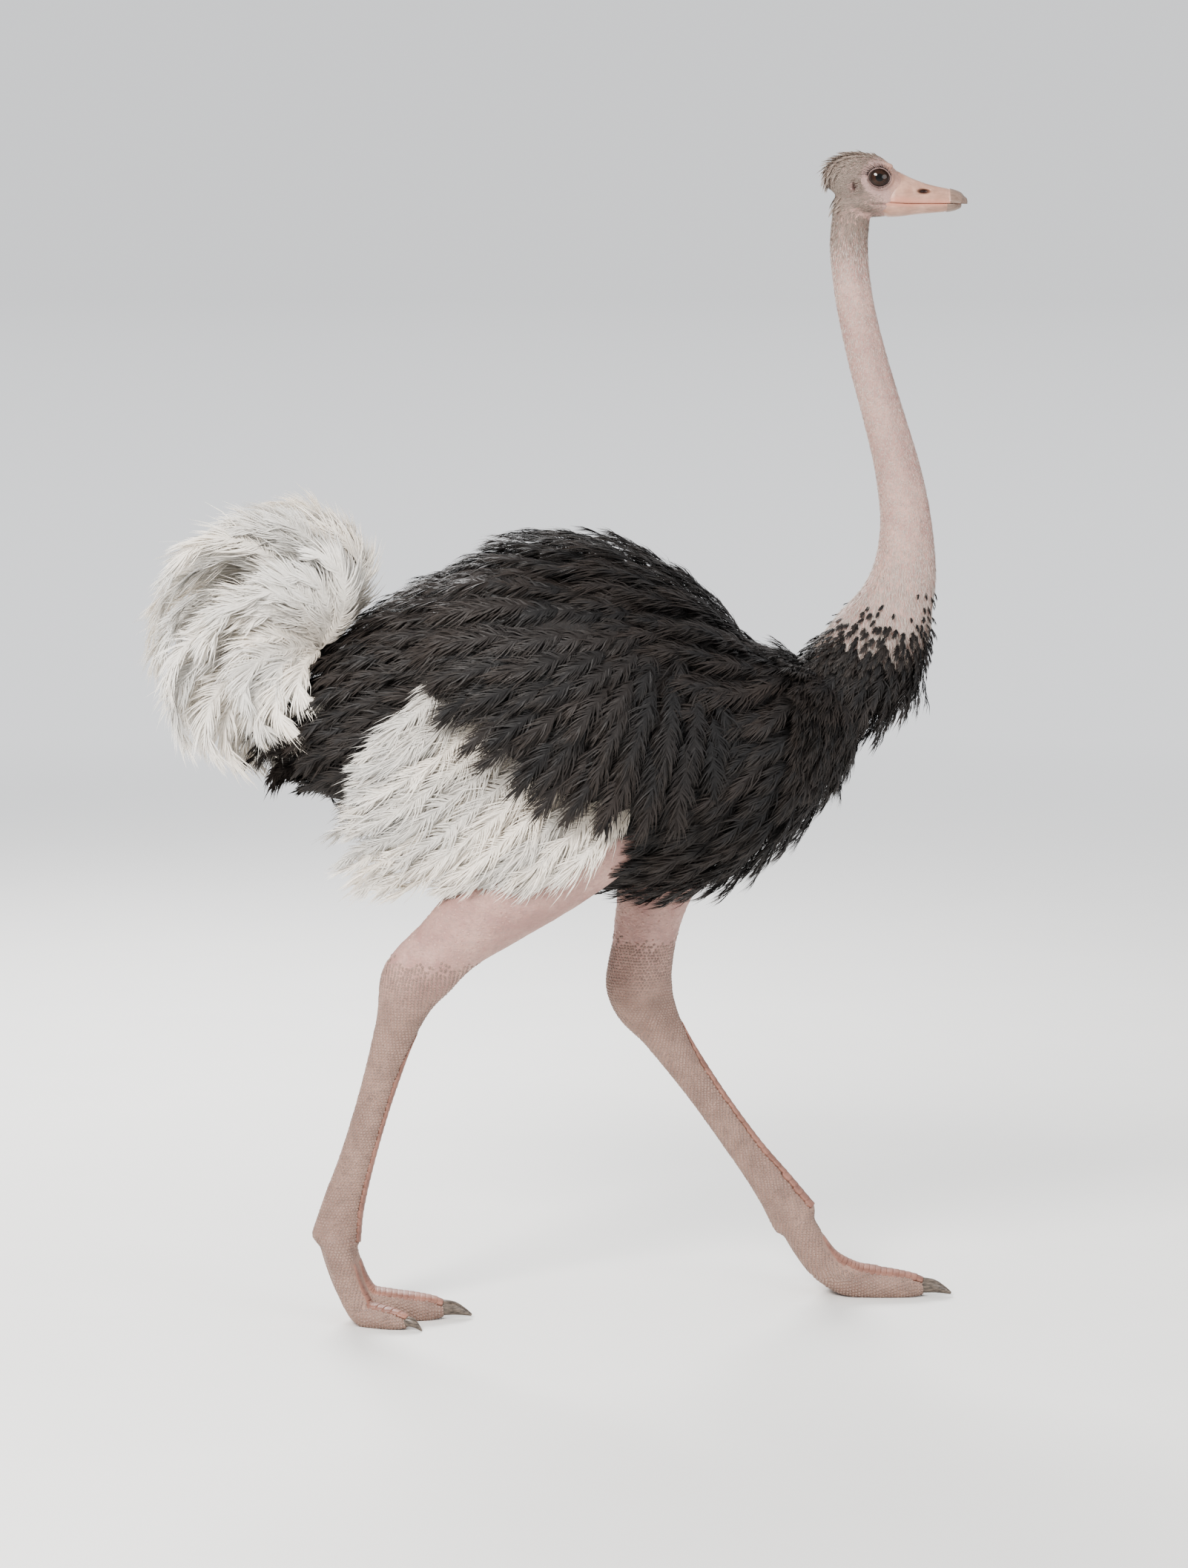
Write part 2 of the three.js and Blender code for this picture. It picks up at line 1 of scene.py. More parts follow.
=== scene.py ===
import math
import bpy
import numpy as np
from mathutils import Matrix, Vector


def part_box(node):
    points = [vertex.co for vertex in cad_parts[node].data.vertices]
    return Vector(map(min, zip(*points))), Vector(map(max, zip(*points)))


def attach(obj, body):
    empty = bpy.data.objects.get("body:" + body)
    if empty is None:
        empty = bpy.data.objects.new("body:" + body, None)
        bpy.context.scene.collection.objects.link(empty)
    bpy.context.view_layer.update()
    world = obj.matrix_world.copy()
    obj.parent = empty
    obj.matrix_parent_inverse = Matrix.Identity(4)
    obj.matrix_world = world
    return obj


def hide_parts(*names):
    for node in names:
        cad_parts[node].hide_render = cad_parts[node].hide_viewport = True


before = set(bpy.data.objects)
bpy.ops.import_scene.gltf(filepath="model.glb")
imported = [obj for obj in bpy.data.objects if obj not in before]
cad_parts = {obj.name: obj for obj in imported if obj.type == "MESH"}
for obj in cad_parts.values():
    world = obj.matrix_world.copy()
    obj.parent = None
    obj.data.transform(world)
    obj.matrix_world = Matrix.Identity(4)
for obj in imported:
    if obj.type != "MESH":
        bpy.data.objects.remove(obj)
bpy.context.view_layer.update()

# Ostrich, adult male, mid stride. Rows are in millimetres, as x forward of the hips and z above
# the floor; everything else is in metres in the frame's own axes.
mm = 0.001
hips = np.array([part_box("trunk")[0].x + 542 * mm, 0, 0])   # the rump ends 542 mm behind the hips
rng = np.random.default_rng(11)
sides = ((-1, "right"), (1, "left"))


def unit(a):
    return a / np.maximum(np.linalg.norm(a, axis=-1, keepdims=True), 1e-9)


def fade(value, low, high):    # 0 below low, 1 above high, smooth between
    t = np.clip((value - low) / (high - low), 0, 1)
    return t * t * (3 - 2 * t)


def hump(value, middle, spread):
    return np.exp(-((value - middle) / spread) ** 2)


def band(value, low, high, soft):
    return fade(value, low - soft, low + soft) * (1 - fade(value, high - soft, high + soft))


def tangent(way, out):         # the part of a direction that lies in the skin
    return unit(way - out * (way * out).sum(-1, keepdims=True))


def signedPower(value, power):
    return np.sign(value) * np.abs(value) ** power


def tilted(a, b, angle):       # a pair of coordinates read in axes that are turned by the angle
    c, s = math.cos(angle), math.sin(angle)
    return a * c + b * s, b * c - a * s


# a smooth line through the rows: uniform Catmull-Rom, carried on straight past both ends
def alongRows(rows, share):
    last = len(rows) - 1
    spot = np.clip(share, 0, 1) * last
    i = np.minimum(spot.astype(int), last - 1)
    u = (spot - i)[..., None]
    held = np.vstack([2 * rows[0] - rows[1], rows, 2 * rows[-1] - rows[-2]])
    a, b, c, d = held[i], held[i + 1], held[i + 2], held[i + 3]
    return 0.5 * (2 * b + (c - a) * u + (2 * a - 5 * b + 4 * c - d) * u ** 2
                  + (3 * b - a - 3 * c + d) * u ** 3)


def denseRows(rows, count=300):
    return alongRows(rows, np.linspace(0, 1, count))


# a body of sections: row = centre x, y, z, reach up, reach down, reach to the side.
# point = centre + depth * reach * cos^p(angle) + across * reach * sin^p(angle), p = 2 / squareness
def sectionPoint(rows, share, angle, out=0.0, upright=False, squareness=2.0):
    row = alongRows(rows, share)
    if upright:
        ahead = np.array([1.0, 0, 0]) + 0 * row[..., :3]
    else:
        step = 0.004
        ahead = unit(alongRows(rows, np.clip(share + step, 0, 1))[..., :3]
                     - alongRows(rows, np.clip(share - step, 0, 1))[..., :3])
    across = tangent(np.array([0.0, 1, 0]), ahead)
    depth = np.cross(ahead, across)
    up = signedPower(np.cos(angle), 2 / squareness)
    side = signedPower(np.sin(angle), 2 / squareness)
    reach = np.where(up > 0, row[..., 3], row[..., 4]) + out
    return (row[..., :3] + depth * (up * reach)[..., None]
            + across * (side * (row[..., 5] + out))[..., None])


# closed mesh over the sections: a grid of rings with a dome and a pole at either end
def sectionBody(rows, count, sides, domes=(0.0, 0.0), upright=False, squareness=2.0):
    share = np.repeat(np.linspace(0, 1, count)[:, None], sides, 1)
    angle = np.linspace(0, 2 * np.pi, sides, endpoint=False) + 0 * share
    grid = sectionPoint(rows, share, angle, 0.0, upright, squareness)
    turn = np.linspace(0, np.pi / 2, 6)[1:-1, None, None]
    rings, poles = [grid], []
    for end, dome in zip((0, 1), domes):
        middle, inward = alongRows(rows, np.array([end, abs(end - 0.01)]))[:, :3]
        away = np.array([2.0 * end - 1, 0, 0]) if upright else unit(middle - inward)
        if dome > 0:
            cap = middle + (grid[-end] - middle) * np.cos(turn) + away * dome * np.sin(turn)
            rings = rings + [cap] if end else [cap[::-1]] + rings
        poles.append(middle + away * dome)
    return closedRings(np.concatenate(rings), *poles)


def ringQuads(count, sides, looped=False):      # the faces between rings that follow each other
    i, j = np.arange(count - (not looped))[:, None], np.arange(sides)
    after, k = (i + 1) % count * sides, (j + 1) % sides
    return np.stack([i * sides + j, after + j, after + k, i * sides + k], -1).reshape(-1, 4)


def closedRings(rings, firstPole, lastPole):
    count, sides = rings.shape[:2]
    points = np.vstack([rings.reshape(-1, 3), firstPole, lastPole])
    j, total = np.arange(sides), count * sides
    k, tail = (j + 1) % sides, total - sides
    first = np.stack([total + 0 * j, j, k], -1)
    last = np.stack([total + 1 + 0 * j, tail + k, tail + j], -1)
    return points, [ringQuads(count, sides), np.vstack([first, last])]


def ballBody(centre, reach, count=20, sides=32):
    lat = np.linspace(0, np.pi, count + 1)[1:-1]
    lon = np.linspace(0, 2 * np.pi, sides, endpoint=False)
    rings = np.stack([-np.cos(lat)[:, None] * np.ones(sides),
                      np.sin(lat)[:, None] * np.sin(lon),
                      np.sin(lat)[:, None] * np.cos(lon)], -1) * reach + centre
    return closedRings(rings, centre - np.array([reach[0], 0, 0]), centre + np.array([reach[0], 0, 0]))


# points and faces into a mesh object; uv and values are one per point
def makePiece(name, points, faces, material=None, uv=None, values=None):
    mesh = bpy.data.meshes.new(name)
    loops = np.concatenate([f.ravel() for f in faces]).astype(np.int32)
    sizes = np.concatenate([np.full(len(f), f.shape[1]) for f in faces])
    starts = np.concatenate([[0], np.cumsum(sizes)[:-1]]).astype(np.int32)
    mesh.vertices.add(len(points))
    mesh.vertices.foreach_set("co", np.ascontiguousarray(points, np.float32).ravel())
    mesh.loops.add(len(loops))
    mesh.loops.foreach_set("vertex_index", loops)
    mesh.polygons.add(len(starts))
    mesh.polygons.foreach_set("loop_start", starts)
    mesh.polygons.foreach_set("use_smooth", np.full(len(starts), True))
    if uv is not None:
        layer = mesh.uv_layers.new(name="OFBake")
        layer.uv.foreach_set("vector", np.ascontiguousarray(uv[loops], np.float32).ravel())
    for key, value in (values or {}).items():
        attribute = mesh.attributes.new(key, "FLOAT", "POINT")
        attribute.data.foreach_set("value", np.ascontiguousarray(value, np.float32).ravel())
    mesh.update(calc_edges=True)
    mesh.validate()
    piece = bpy.data.objects.new(name, mesh)
    bpy.context.scene.collection.objects.link(piece)
    if material:
        mesh.materials.append(material)
    return piece


def settle(piece, slot, *nodes):
    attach(piece, "root")
    if nodes:
        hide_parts(*nodes)
    return piece


def joined(parts):    # several (points, [quads, triangles]) into one
    points, quads, tris, start = [], [], [], 0
    for p, f in parts:
        points.append(p)
        for block in f:
            (quads if block.shape[1] == 4 else tris).append(block + start)
        start += len(p)
    return np.vstack(points), [np.vstack(b) for b in (quads, tris) if b]


class Finish:              # a principled material and short ways to make and join its nodes
    def __init__(self, name):
        self.material = bpy.data.materials.new(name)
        self.material.use_nodes = True
        self.tree = self.material.node_tree
        self.shader = self.tree.nodes["Principled BSDF"]
        self.where = self.node("TexCoord").outputs["Object"]

    def fill(self, sockets, values):
        for key, value in values.items():
            if isinstance(value, bpy.types.NodeSocket):
                self.tree.links.new(value, sockets[key])
            else:
                sockets[key].default_value = (*value, 1) if sockets[key].type == "RGBA" else value

    def node(self, kind, inputs={}, **settings):
        made = self.tree.nodes.new("ShaderNode" + kind)
        for key, value in settings.items():
            setattr(made, key, value)
        self.fill(made.inputs, inputs)
        return made

    def noise(self, scale, detail=3.0, roughness=0.55, distortion=0.0, where=None):
        return self.node("TexNoise", {"Vector": where or self.where, "Scale": scale, "Detail": detail,
                         "Roughness": roughness, "Distortion": distortion}).outputs["Fac"]

    def stretched(self, scale):
        return self.node("Mapping", {"Vector": self.where, "Scale": scale}).outputs[0]

    def attribute(self, name):
        return self.node("Attribute", attribute_name=name).outputs["Fac"]

    def ramp(self, value, low, high, outLow=0.0, outHigh=1.0):
        return self.node("MapRange", {"Value": value, "From Min": low, "From Max": high,
                         "To Min": outLow, "To Max": outHigh}).outputs["Result"]

    def mix(self, factor, first, second, blend="MIX"):
        mixed = self.node("Mix", {0: factor, 6: first, 7: second}, data_type="RGBA", blend_type=blend)
        return mixed.outputs[2]

    def add(self, a, b):
        return self.node("Math", {0: a, 1: b}, operation="ADD").outputs[0]

    def times(self, a, b):
        return self.node("Math", {0: a, 1: b}, operation="MULTIPLY").outputs[0]

    # fills the shader: colour, roughness, relief as (height, strength, distance), and other sockets
    def done(self, colour, rough, relief=None, sockets={}):
        self.fill(self.shader.inputs, {"Base Color": colour, "Roughness": rough, **sockets})
        if relief:
            bump = self.node("Bump", dict(zip(("Height", "Strength", "Distance"), relief)))
            self.fill(self.shader.inputs, {"Normal": bump.outputs[0]})
        return self.material


# the shape of the bird, as rows of sections along each part
trunk = {
    "rows": np.array([           # x, top, bottom, half width of the plumage
        [-528, 1092, 1040, 34], [-490, 1166, 962, 98], [-412, 1240, 902, 150],
        [-300, 1308, 842, 195], [-170, 1364, 795, 226], [-30, 1396, 762, 240],
        [110, 1374, 750, 238], [240, 1303, 757, 218], [350, 1226, 806, 185],
        [450, 1208, 900, 148], [540, 1212, 1010, 112], [600, 1206, 1100, 66]]) * mm,
    "waist": 0.52, "squareness": 2.3, "coat": 0.048, "endCoat": 0.055, "tuck": 0.42,
    "stub": ((-500, 0, 1195), (80, 36, 58)),        # of the tail: place and reaches
    "mesh": (90, 80, (0.02, 0.03)),                 # here and below: rings, points a ring, end domes
}
neck = {
    "rows": np.array([           # x, z, half depth, half width
        [462, 1122, 92, 76], [527, 1204, 95, 76], [562, 1290, 69, 58], [571, 1385, 53, 47],
        [556, 1490, 46, 42], [529, 1590, 42, 38], [500, 1690, 40, 36], [477, 1790, 38, 34],
        [467, 1880, 38, 34], [473, 1950, 39, 34], [484, 2012, 37, 30]]) * mm,
    "coat": 0.007, "mesh": (120, 56, (0.0, 0.01)),
}
head = {
    "unit": 0.247 * mm,          # a thousandth of the head's length
    "place": np.array([424, 0, 1957]) * mm,
    "rows": np.array([           # x, height of the widest line, up, down, half width
        [34, 192, 94, 96, 96], [92, 184, 142, 146, 132], [178, 172, 180, 222, 156],
        [272, 170, 188, 266, 163], [374, 168, 172, 276, 158], [450, 146, 142, 248, 145],
        [508, 104, 128, 194, 130], [552, 78, 116, 162, 114]]),
    "coat": 0.0035, "squareness": 2.15, "mesh": (60, 64, (0.006, 0.010)),
    "eye": np.array([374, 95, 180]), "eyeReach": np.array([25, 19.5, 25]) * mm,
    "ear": np.array([215, 152, 118]),
    "brow": ((348, 112, 256), (32, 9, 9)), "cheek": ((330, 92, 8), (38, 14, 17)),
}
legs = {
    "right": {"side": -1, "fall": 46, "rows": np.array([  # x, y, z, half depth, half width
        [100, -118, 980, 105, 80], [22, -120, 906, 116, 86], [-66, -118, 824, 102, 80],
        [-150, -112, 748, 80, 66], [-226, -104, 680, 61, 52], [-286, -95, 614, 58, 44],
        [-318, -90, 530, 39, 32], [-352, -84, 420, 31, 25], [-386, -78, 306, 31, 24],
        [-414, -73, 212, 37, 29], [-428, -70, 150, 44, 37]])},
    "left": {"side": 1, "fall": 84, "rows": np.array([
        [206, 118, 1080, 105, 80], [190, 122, 985, 116, 86], [166, 123, 880, 104, 80],
        [140, 122, 768, 78, 66], [119, 120, 656, 58, 50], [110, 118, 554, 58, 44],
        [152, 119, 478, 40, 32], [220, 121, 378, 31, 25], [296, 123, 270, 31, 24],
        [354, 124, 192, 37, 29], [388, 125, 140, 44, 37]])},
}
legLook = {"scales": 0.0012, "mesh": (140, 48, (0.0, 0.024)), "squareness": 2.0, "toeSquareness": 2.3,
           "toeMesh": ((70, 40, (0.0, 0.009)), (60, 36, (0.0, 0.007)))}
wing = {
    "centre": (15, 1105), "half": (300, 205), "tilt": math.radians(-35), "bulge": 41, "edge": 8,
    "coat": 30, "fan": (210, 1330),                # the coverts spread from here, at the shoulder
    "roots": [[-205, 1215], [-150, 1090], [-60, 985], [70, 905]],
    "tips": [[-350, 1040], [-408, 925], [-400, 782], [-225, 772], [-50, 792]],
}


def trunkRows(coat, endCoat):
    x, top, bottom, width = trunk["rows"].T
    span = x[-1] - x[0]
    x = x[0] + endCoat + (x - x[0]) * (span - 2 * endCoat) / span
    waist = bottom + (top - bottom) * trunk["waist"]
    thin = lambda reach: np.maximum(reach - coat, reach * 0.35)
    return np.stack([x + hips[0], 0 * x, waist, thin(top - waist), thin(waist - bottom), thin(width)], 1)


trunkFlesh = trunkRows(trunk["coat"], trunk["endCoat"])


def neckRows(coat=0.0):
    x, z, depth, width = neck["rows"].T
    return np.stack([x + hips[0], 0 * x, z, depth - coat, depth - coat, width - coat], 1)


def headRows(coat):
    x, middle, up, down, width = head["rows"].T * head["unit"]
    at = head["place"] + hips
    return np.stack([x + at[0], 0 * x, middle + at[2], up - coat, down - coat, width - coat], 1)


def inHead(place, side=1):
    return head["place"] + hips + np.array([place[0], side * place[1], place[2]]) * head["unit"]


def headPlace(points):       # the other way round: points in thousandths of the head's length
    return (points - head["place"] - hips) / head["unit"]


def legRows(leg, coat=0.0):
    rows = leg["rows"] * mm
    x, y, z, depth, width = rows.T
    return np.stack([x + hips[0], y, z, depth - coat, depth - coat, width - coat], 1)


# the toe's line falls from the ball of the foot and then lies along the floor
def toeRows(leg, big):
    ball, fall, side = leg["rows"][-1], leg["fall"], leg["side"]
    high, wide = (1, 1) if big else (0.76, 0.72)
    long = 1 if big else 0.64
    heading = math.radians(-3 * side if big else 24 * side)
    aside = -side * 7 if big else side * 17
    rows = np.array([
        [0, ball[2], 31, 32], [fall * 0.28, ball[2] * 0.7, 31, 32], [fall * 0.66, ball[2] * 0.4, 31, 32],
        [fall * 1.15, 31 * high, 32, 33], [fall * 1.15 + 42 * long, 24 * high, 29, 32],
        [fall * 1.15 + 82 * long, 21 * high, 26, 29], [fall * 1.15 + 116 * long, 18 * high, 22, 23],
        [fall * 1.15 + 134 * long, 15 * high, 17, 17]])
    forward, z, tall, broad = rows.T
    offset = aside * (1 - np.minimum(forward / 60, 1) * 0.35)
    x = ball[0] + forward * math.cos(heading) + hips[0] / mm
    y = ball[1] + forward * math.sin(heading) + offset
    return np.stack([x, y, z, tall * high, tall * high, broad * wide], 1) * mm


def bothToes(leg):
    return [toeRows(leg, big) for big in (True, False)]


# how far the plumage of the flank reaches out: a superellipse above its widest line, below it
# width * sqrt(1 - tuck * drop^2)
def flankAt(x, z):
    line = denseRows(trunkRows(0, 0), 400)
    waist, up, down, width = (np.interp(x + hips[0], line[:, 0], line[:, k]) for k in (2, 3, 4, 5))
    rise = np.clip((z - waist) / up, 0, 0.98)
    drop = np.clip((waist - z) / down, 0, 1.2)
    return (width * (1 - rise ** trunk["squareness"]) ** (1 / trunk["squareness"])
            * np.sqrt(1 - trunk["tuck"] * drop ** 2))


def wingSpread(x, z):        # 0 in the middle of the folded wing, 1 on its rim
    a, b = tilted(x - wing["centre"][0] * mm, z - wing["centre"][1] * mm, wing["tilt"])
    return np.hypot(a / (wing["half"][0] * mm), b / (wing["half"][1] * mm))


# the wing's outer face: flank + edge + bulge * (1 - spread^3)^p, p larger towards the shoulder, where
# the wing sinks into the plumage
def wingPoint(x, z, side, deep=0.0, soft=1.0):
    power = 0.5 + 0.9 * fade(x, -0.02, 0.22)
    crown = np.maximum(1 - (soft * wingSpread(x, z)) ** 3, 0.001) ** power
    y = flankAt(x, z) + (wing["edge"] + wing["bulge"] * crown) * mm - deep
    return np.stack([x + hips[0], side * y, z], -1)


def wingBody(side):          # the flesh of the wing: a closed lens under the coverts
    spread = np.linspace(0.06, 0.74, 14)[:, None]
    turn = np.linspace(0, 2 * np.pi, 60, endpoint=False)[None]
    long, short = spread * wing["half"][0] * mm * np.cos(turn), spread * wing["half"][1] * mm * np.sin(turn)
    dx, dz = tilted(long, short, -wing["tilt"])
    x, z = wing["centre"][0] * mm + dx, wing["centre"][1] * mm + dz
    outer = wingPoint(x, z, side, (wing["coat"] + 20 * fade(x, -0.02, 0.12)) * mm + 0.06 * spread ** 5)
    inner = outer * np.array([1, 0.55, 1])
    rings = np.concatenate([outer, inner[::-1]])[:, ::-side]
    return closedRings(rings, outer[0].mean(0), inner[0].mean(0))


# one skin for head, neck, trunk, wings' flesh, legs and toes
skinLook = {
    "voxel": 0.0041,
    # height, how much finer than the voxel the mesh is there
    "fineness": np.array([[0.0, 1.15], [0.16, 1.15], [0.22, 0.86], [0.56, 0.86], [0.74, 0.36], [1.00, 0.36],
                          [1.08, 0.50], [1.34, 0.50], [1.42, 0.85], [1.74, 0.95], [1.87, 2.1], [2.2, 2.1]]),
    "smoothing": 10,
}


def fuseSkin():
    neckLine = neckRows()
    heights = np.linspace(-0.1, 2.3, 2401)
    finer = np.interp(heights, *skinLook["fineness"].T)
    finer = np.convolve(np.pad(finer, 30, mode="edge"), np.ones(61) / 61, "valid")
    warped = np.concatenate([[0], np.cumsum((finer[1:] + finer[:-1]) / 2 * np.diff(heights))])
    centre = np.interp(heights, [1.05, 1.25, *neckLine[3:, 2]], [0.0, 0.35, *neckLine[3:, 0]])
    centre = np.convolve(np.pad(centre, 60, mode="edge"), np.ones(121) / 121, "valid")

    def warp(p):          # stretches space where the mesh has to be finer
        s, c = np.interp(p[:, 2], heights, finer), np.interp(p[:, 2], heights, centre)
        return np.stack([c + (p[:, 0] - c) * s, p[:, 1] * s, np.interp(p[:, 2], heights, warped)], 1)

    def unwarp(p):
        z = np.interp(p[:, 2], warped, heights)
        s, c = np.interp(z, heights, finer), np.interp(z, heights, centre)
        return np.stack([c + (p[:, 0] - c) / s, p[:, 1] / s, z], 1)

    parts = [
        sectionBody(trunkFlesh, *trunk["mesh"], True, trunk["squareness"]),
        sectionBody(neckRows(neck["coat"]), *neck["mesh"]),
        sectionBody(headRows(head["coat"]), *head["mesh"], True, head["squareness"]),
    ]
    for side, _ in sides:
        parts += [ballBody(inHead(place, side), np.array(reach) * mm)
                  for place, reach in (head["brow"], head["cheek"])] + [wingBody(side)]
    parts.append(ballBody(np.array(trunk["stub"][0]) * mm + hips, np.array(trunk["stub"][1]) * mm))
    for leg in legs.values():
        parts.append(sectionBody(legRows(leg, legLook["scales"]), *legLook["mesh"]))
        for toe, mesh in zip(bothToes(leg), legLook["toeMesh"]):
            parts.append(sectionBody(toe, *mesh, squareness=legLook["toeSquareness"]))
    points, faces = joined(parts)
    rough = makePiece("roughSkin", warp(points), faces)
    fuse = rough.modifiers.new("fuse", "REMESH")
    fuse.mode = "VOXEL"
    fuse.voxel_size = skinLook["voxel"]
    seen = bpy.context.evaluated_depsgraph_get()
    fused = bpy.data.meshes.new_from_object(rough.evaluated_get(seen))
    bpy.data.objects.remove(rough)
    points = np.empty(len(fused.vertices) * 3)
    fused.vertices.foreach_get("co", points)
    points = points.reshape(-1, 3)
    loops = np.empty(len(fused.loops), np.int64)
    fused.loops.foreach_get("vertex_index", loops)
    quads = loops.reshape(-1, 4)
    bpy.data.meshes.remove(fused)
    edges = np.unique(np.sort(np.concatenate([quads[:, [0, 1]], quads[:, [1, 2]],
                                              quads[:, [2, 3]], quads[:, [3, 0]]]), 1), axis=0)
    points = relax(points, edges, skinLook["smoothing"])
    return unwarp(points), quads, edges


# each point moves half way to its neighbours' middle, or less where its share is less
def relax(points, edges, times, where=1.0):
    n, (a, b) = len(points), edges.T
    count = np.bincount(edges.ravel(), minlength=n)
    pull = 0.5 * (where + np.zeros(n))[:, None]
    for _ in range(times):
        middle = np.stack([np.bincount(a, points[b, k], n) + np.bincount(b, points[a, k], n)
                           for k in range(3)], 1) / count[:, None]
        points = points + (middle - points) * pull
    return points


def pointNormals(points, quads):
    d1, d2 = points[quads[:, 2]] - points[quads[:, 0]], points[quads[:, 3]] - points[quads[:, 1]]
    facing = np.repeat(np.cross(d1, d2), 4, 0)
    return unit(np.stack([np.bincount(quads.ravel(), facing[:, k], len(points)) for k in range(3)], 1))


# the openings of the skin: how it lies on the eyeball, and its hollows at the ears and the gape
opening = {"long": 19.5 * mm, "high": 16.6 * mm, "corner": 1.75, "tilt": math.radians(7),
           "hug": 1.065, "least": 1.045, "soft": 0.07, "sink": 0.84}
earLook = {"long": 6 * mm, "high": 8.5 * mm, "deep": 7 * mm, "rim": 0.9 * mm}
gapeLook = {"line": -5, "from": 318, "to": 540, "deep": 2.4 * mm}


# 1 on the rim of the opening: (|u|^corner + v^2)^(1/2) with u, v in its half sizes, tilted up at the back
def openingShare(dx, dz):
    u, v = tilted(dx, dz, -opening["tilt"])
    return (np.abs(u / opening["long"]) ** opening["corner"] + (v / opening["high"]) ** 2) ** 0.5


# outside the opening the skin is held off the eyeball, inside it is sunk behind it: with far = 1 on the ball,
# held = (far + hug + sqrt((far - hug)^2 + soft^2)) / 2 + fold, or sink at most
def shapeEyes(points):
    reach = head["eyeReach"]
    hug, soft = opening["hug"], opening["soft"]
    for side, _ in sides:
        centre = inHead(head["eye"], side)
        ball = (points - centre) / reach
        far = np.linalg.norm(ball, axis=1)
        onBall = (points - centre) / np.minimum(far, 1)[:, None]
        share = openingShare(onBall[:, 0], onBall[:, 2])
        above = fade(ball[:, 2], -0.5, 0.5)
        fold = (0.030 * hump(share, 1.14, 0.08) - 0.055 * hump(share, 1.34, 0.07) * (0.25 + 0.75 * above)
                + 0.030 * hump(share, 1.52, 0.10) * above)
        lids = fade(share, 0.94, 1.02)
        over = (far + hug + np.sqrt((far - hug) ** 2 + soft ** 2)) / 2
        over = np.maximum(over + fold, opening["least"])
        held = (1 - lids) * np.minimum(far, opening["sink"]) + lids * over
        near = (side * ball[:, 1] > -0.1) & (far < 1.9)
        moved = centre + ball / far[:, None] * held[:, None] * reach
        points = np.where(near[:, None], moved, points)
    return points


def shapeFace(points):
    local = headPlace(points)
    gape = hump(local[:, 2], gapeLook["line"], 8) * band(local[:, 0], gapeLook["from"], gapeLook["to"], 18)
    dark = np.zeros(len(points))
    for side, _ in sides:
        d = points - inHead(head["ear"], side)
        far = np.hypot(d[:, 0] / earLook["long"], d[:, 2] / earLook["high"])
        mine = (side * points[:, 1] > 0) * fade(points[:, 2], 1.90, 1.93)
        hollow, rim, line = np.exp(-far ** 3) * mine, hump(far, 1.5, 0.3) * mine, gape * mine
        points[:, 1] -= side * (hollow * earLook["deep"] - rim * earLook["rim"] + line * gapeLook["deep"])
        # painted shade: the ear hollow and the gape's crease are darkened in the skin's colour
        dark = np.maximum.reduce([dark, hollow, 0.6 * line])
    return points, dark


# outward reach of a limb around its line at every height: angle 0 is its front
def aroundLimb(points, rows):
    line = denseRows(rows)
    order = np.argsort(line[:, 2])
    at = [np.interp(points[:, 2], line[order, 2], line[order, k]) for k in (0, 1, 3, 5)]
    dx, dy = (points[:, 0] - at[0]) / at[2], (points[:, 1] - at[1]) / at[3]
    return np.arctan2(dy, dx), np.hypot(dx, dy), np.stack([dx * at[2], dy * at[3], 0 * dx], 1)


# metres along the skin around a limb or toe from its front or top, for half widths a and b:
# (a + b) / 2 * angle + (b - a) / 4 * sin(2 * angle)
def aroundArc(angle, a, b):
    return (a + b) / 2 * angle + (b - a) / 4 * np.sin(2 * angle)


# metres around and along a limb, and the way it runs
def limbArcs(points, rows, angle):
    line = denseRows(rows)
    step = np.gradient(line[:, :3], axis=0)
    run = np.cumsum(np.linalg.norm(step, axis=1))
    order = np.argsort(line[:, 2])
    at = lambda a: np.interp(points[:, 2], line[order, 2], a[order])
    way = np.stack([at(step[:, k]) for k in range(3)], 1)
    return aroundArc(angle, at(line[:, 3]), at(line[:, 5])), at(run), unit(way)


# the same around a toe, taken at every x: angle 0 is its top
def aroundToe(points, rows):
    line = denseRows(rows)
    y, z, tall, broad = [np.interp(points[:, 0], line[:, 0], line[:, k], left=9) for k in (1, 2, 3, 5)]
    dy, dz = (points[:, 1] - y) / broad, (points[:, 2] - z) / tall
    turn = np.arctan2(dy, dz)
    return turn, np.hypot(dy, dz), aroundArc(turn, tall, broad)


def shapeLegs(points, normals):
    move = np.zeros(len(points))
    for leg in legs.values():
        rows = legRows(leg)
        angle, far, _ = aroundLimb(points, rows)
        angle = np.abs(angle)
        z, hock, ball = points[:, 2], rows[5, 2], rows[-1, 2]
        mine = (leg["side"] * points[:, 1] > 0) & (far < 1.6)
        shape = (3.2 * hump(angle, 1.5, 0.5) * hump(z, hock, 0.030)
                 + 3.5 * hump(angle, 0, 0.55) * hump(z, hock - 0.012, 0.026)
                 + 2.5 * hump(angle, 3.1, 0.5) * hump(z, hock + 0.012, 0.03)
                 - 5.0 * hump(angle, 2.15, 0.32) * band(z, hock + 0.035, hock + 0.15, 0.03)
                 + 2.0 * hump(angle, 3.1, 0.35) * band(z, hock + 0.03, hock + 0.14, 0.03)
                 - 2.6 * hump(angle, 1.9, 0.35) * band(z, ball + 0.07, hock - 0.07, 0.03)
                 - 3.5 * hump(angle, 1.25, 0.3) * band(z, hock + 0.13, hock + 0.27, 0.05)
                 + 2.2 * hump(angle, 1.5, 0.6) * hump(z, ball + 0.012, 0.03))
        move += mine * shape * mm
    return points + normals * move[:, None]


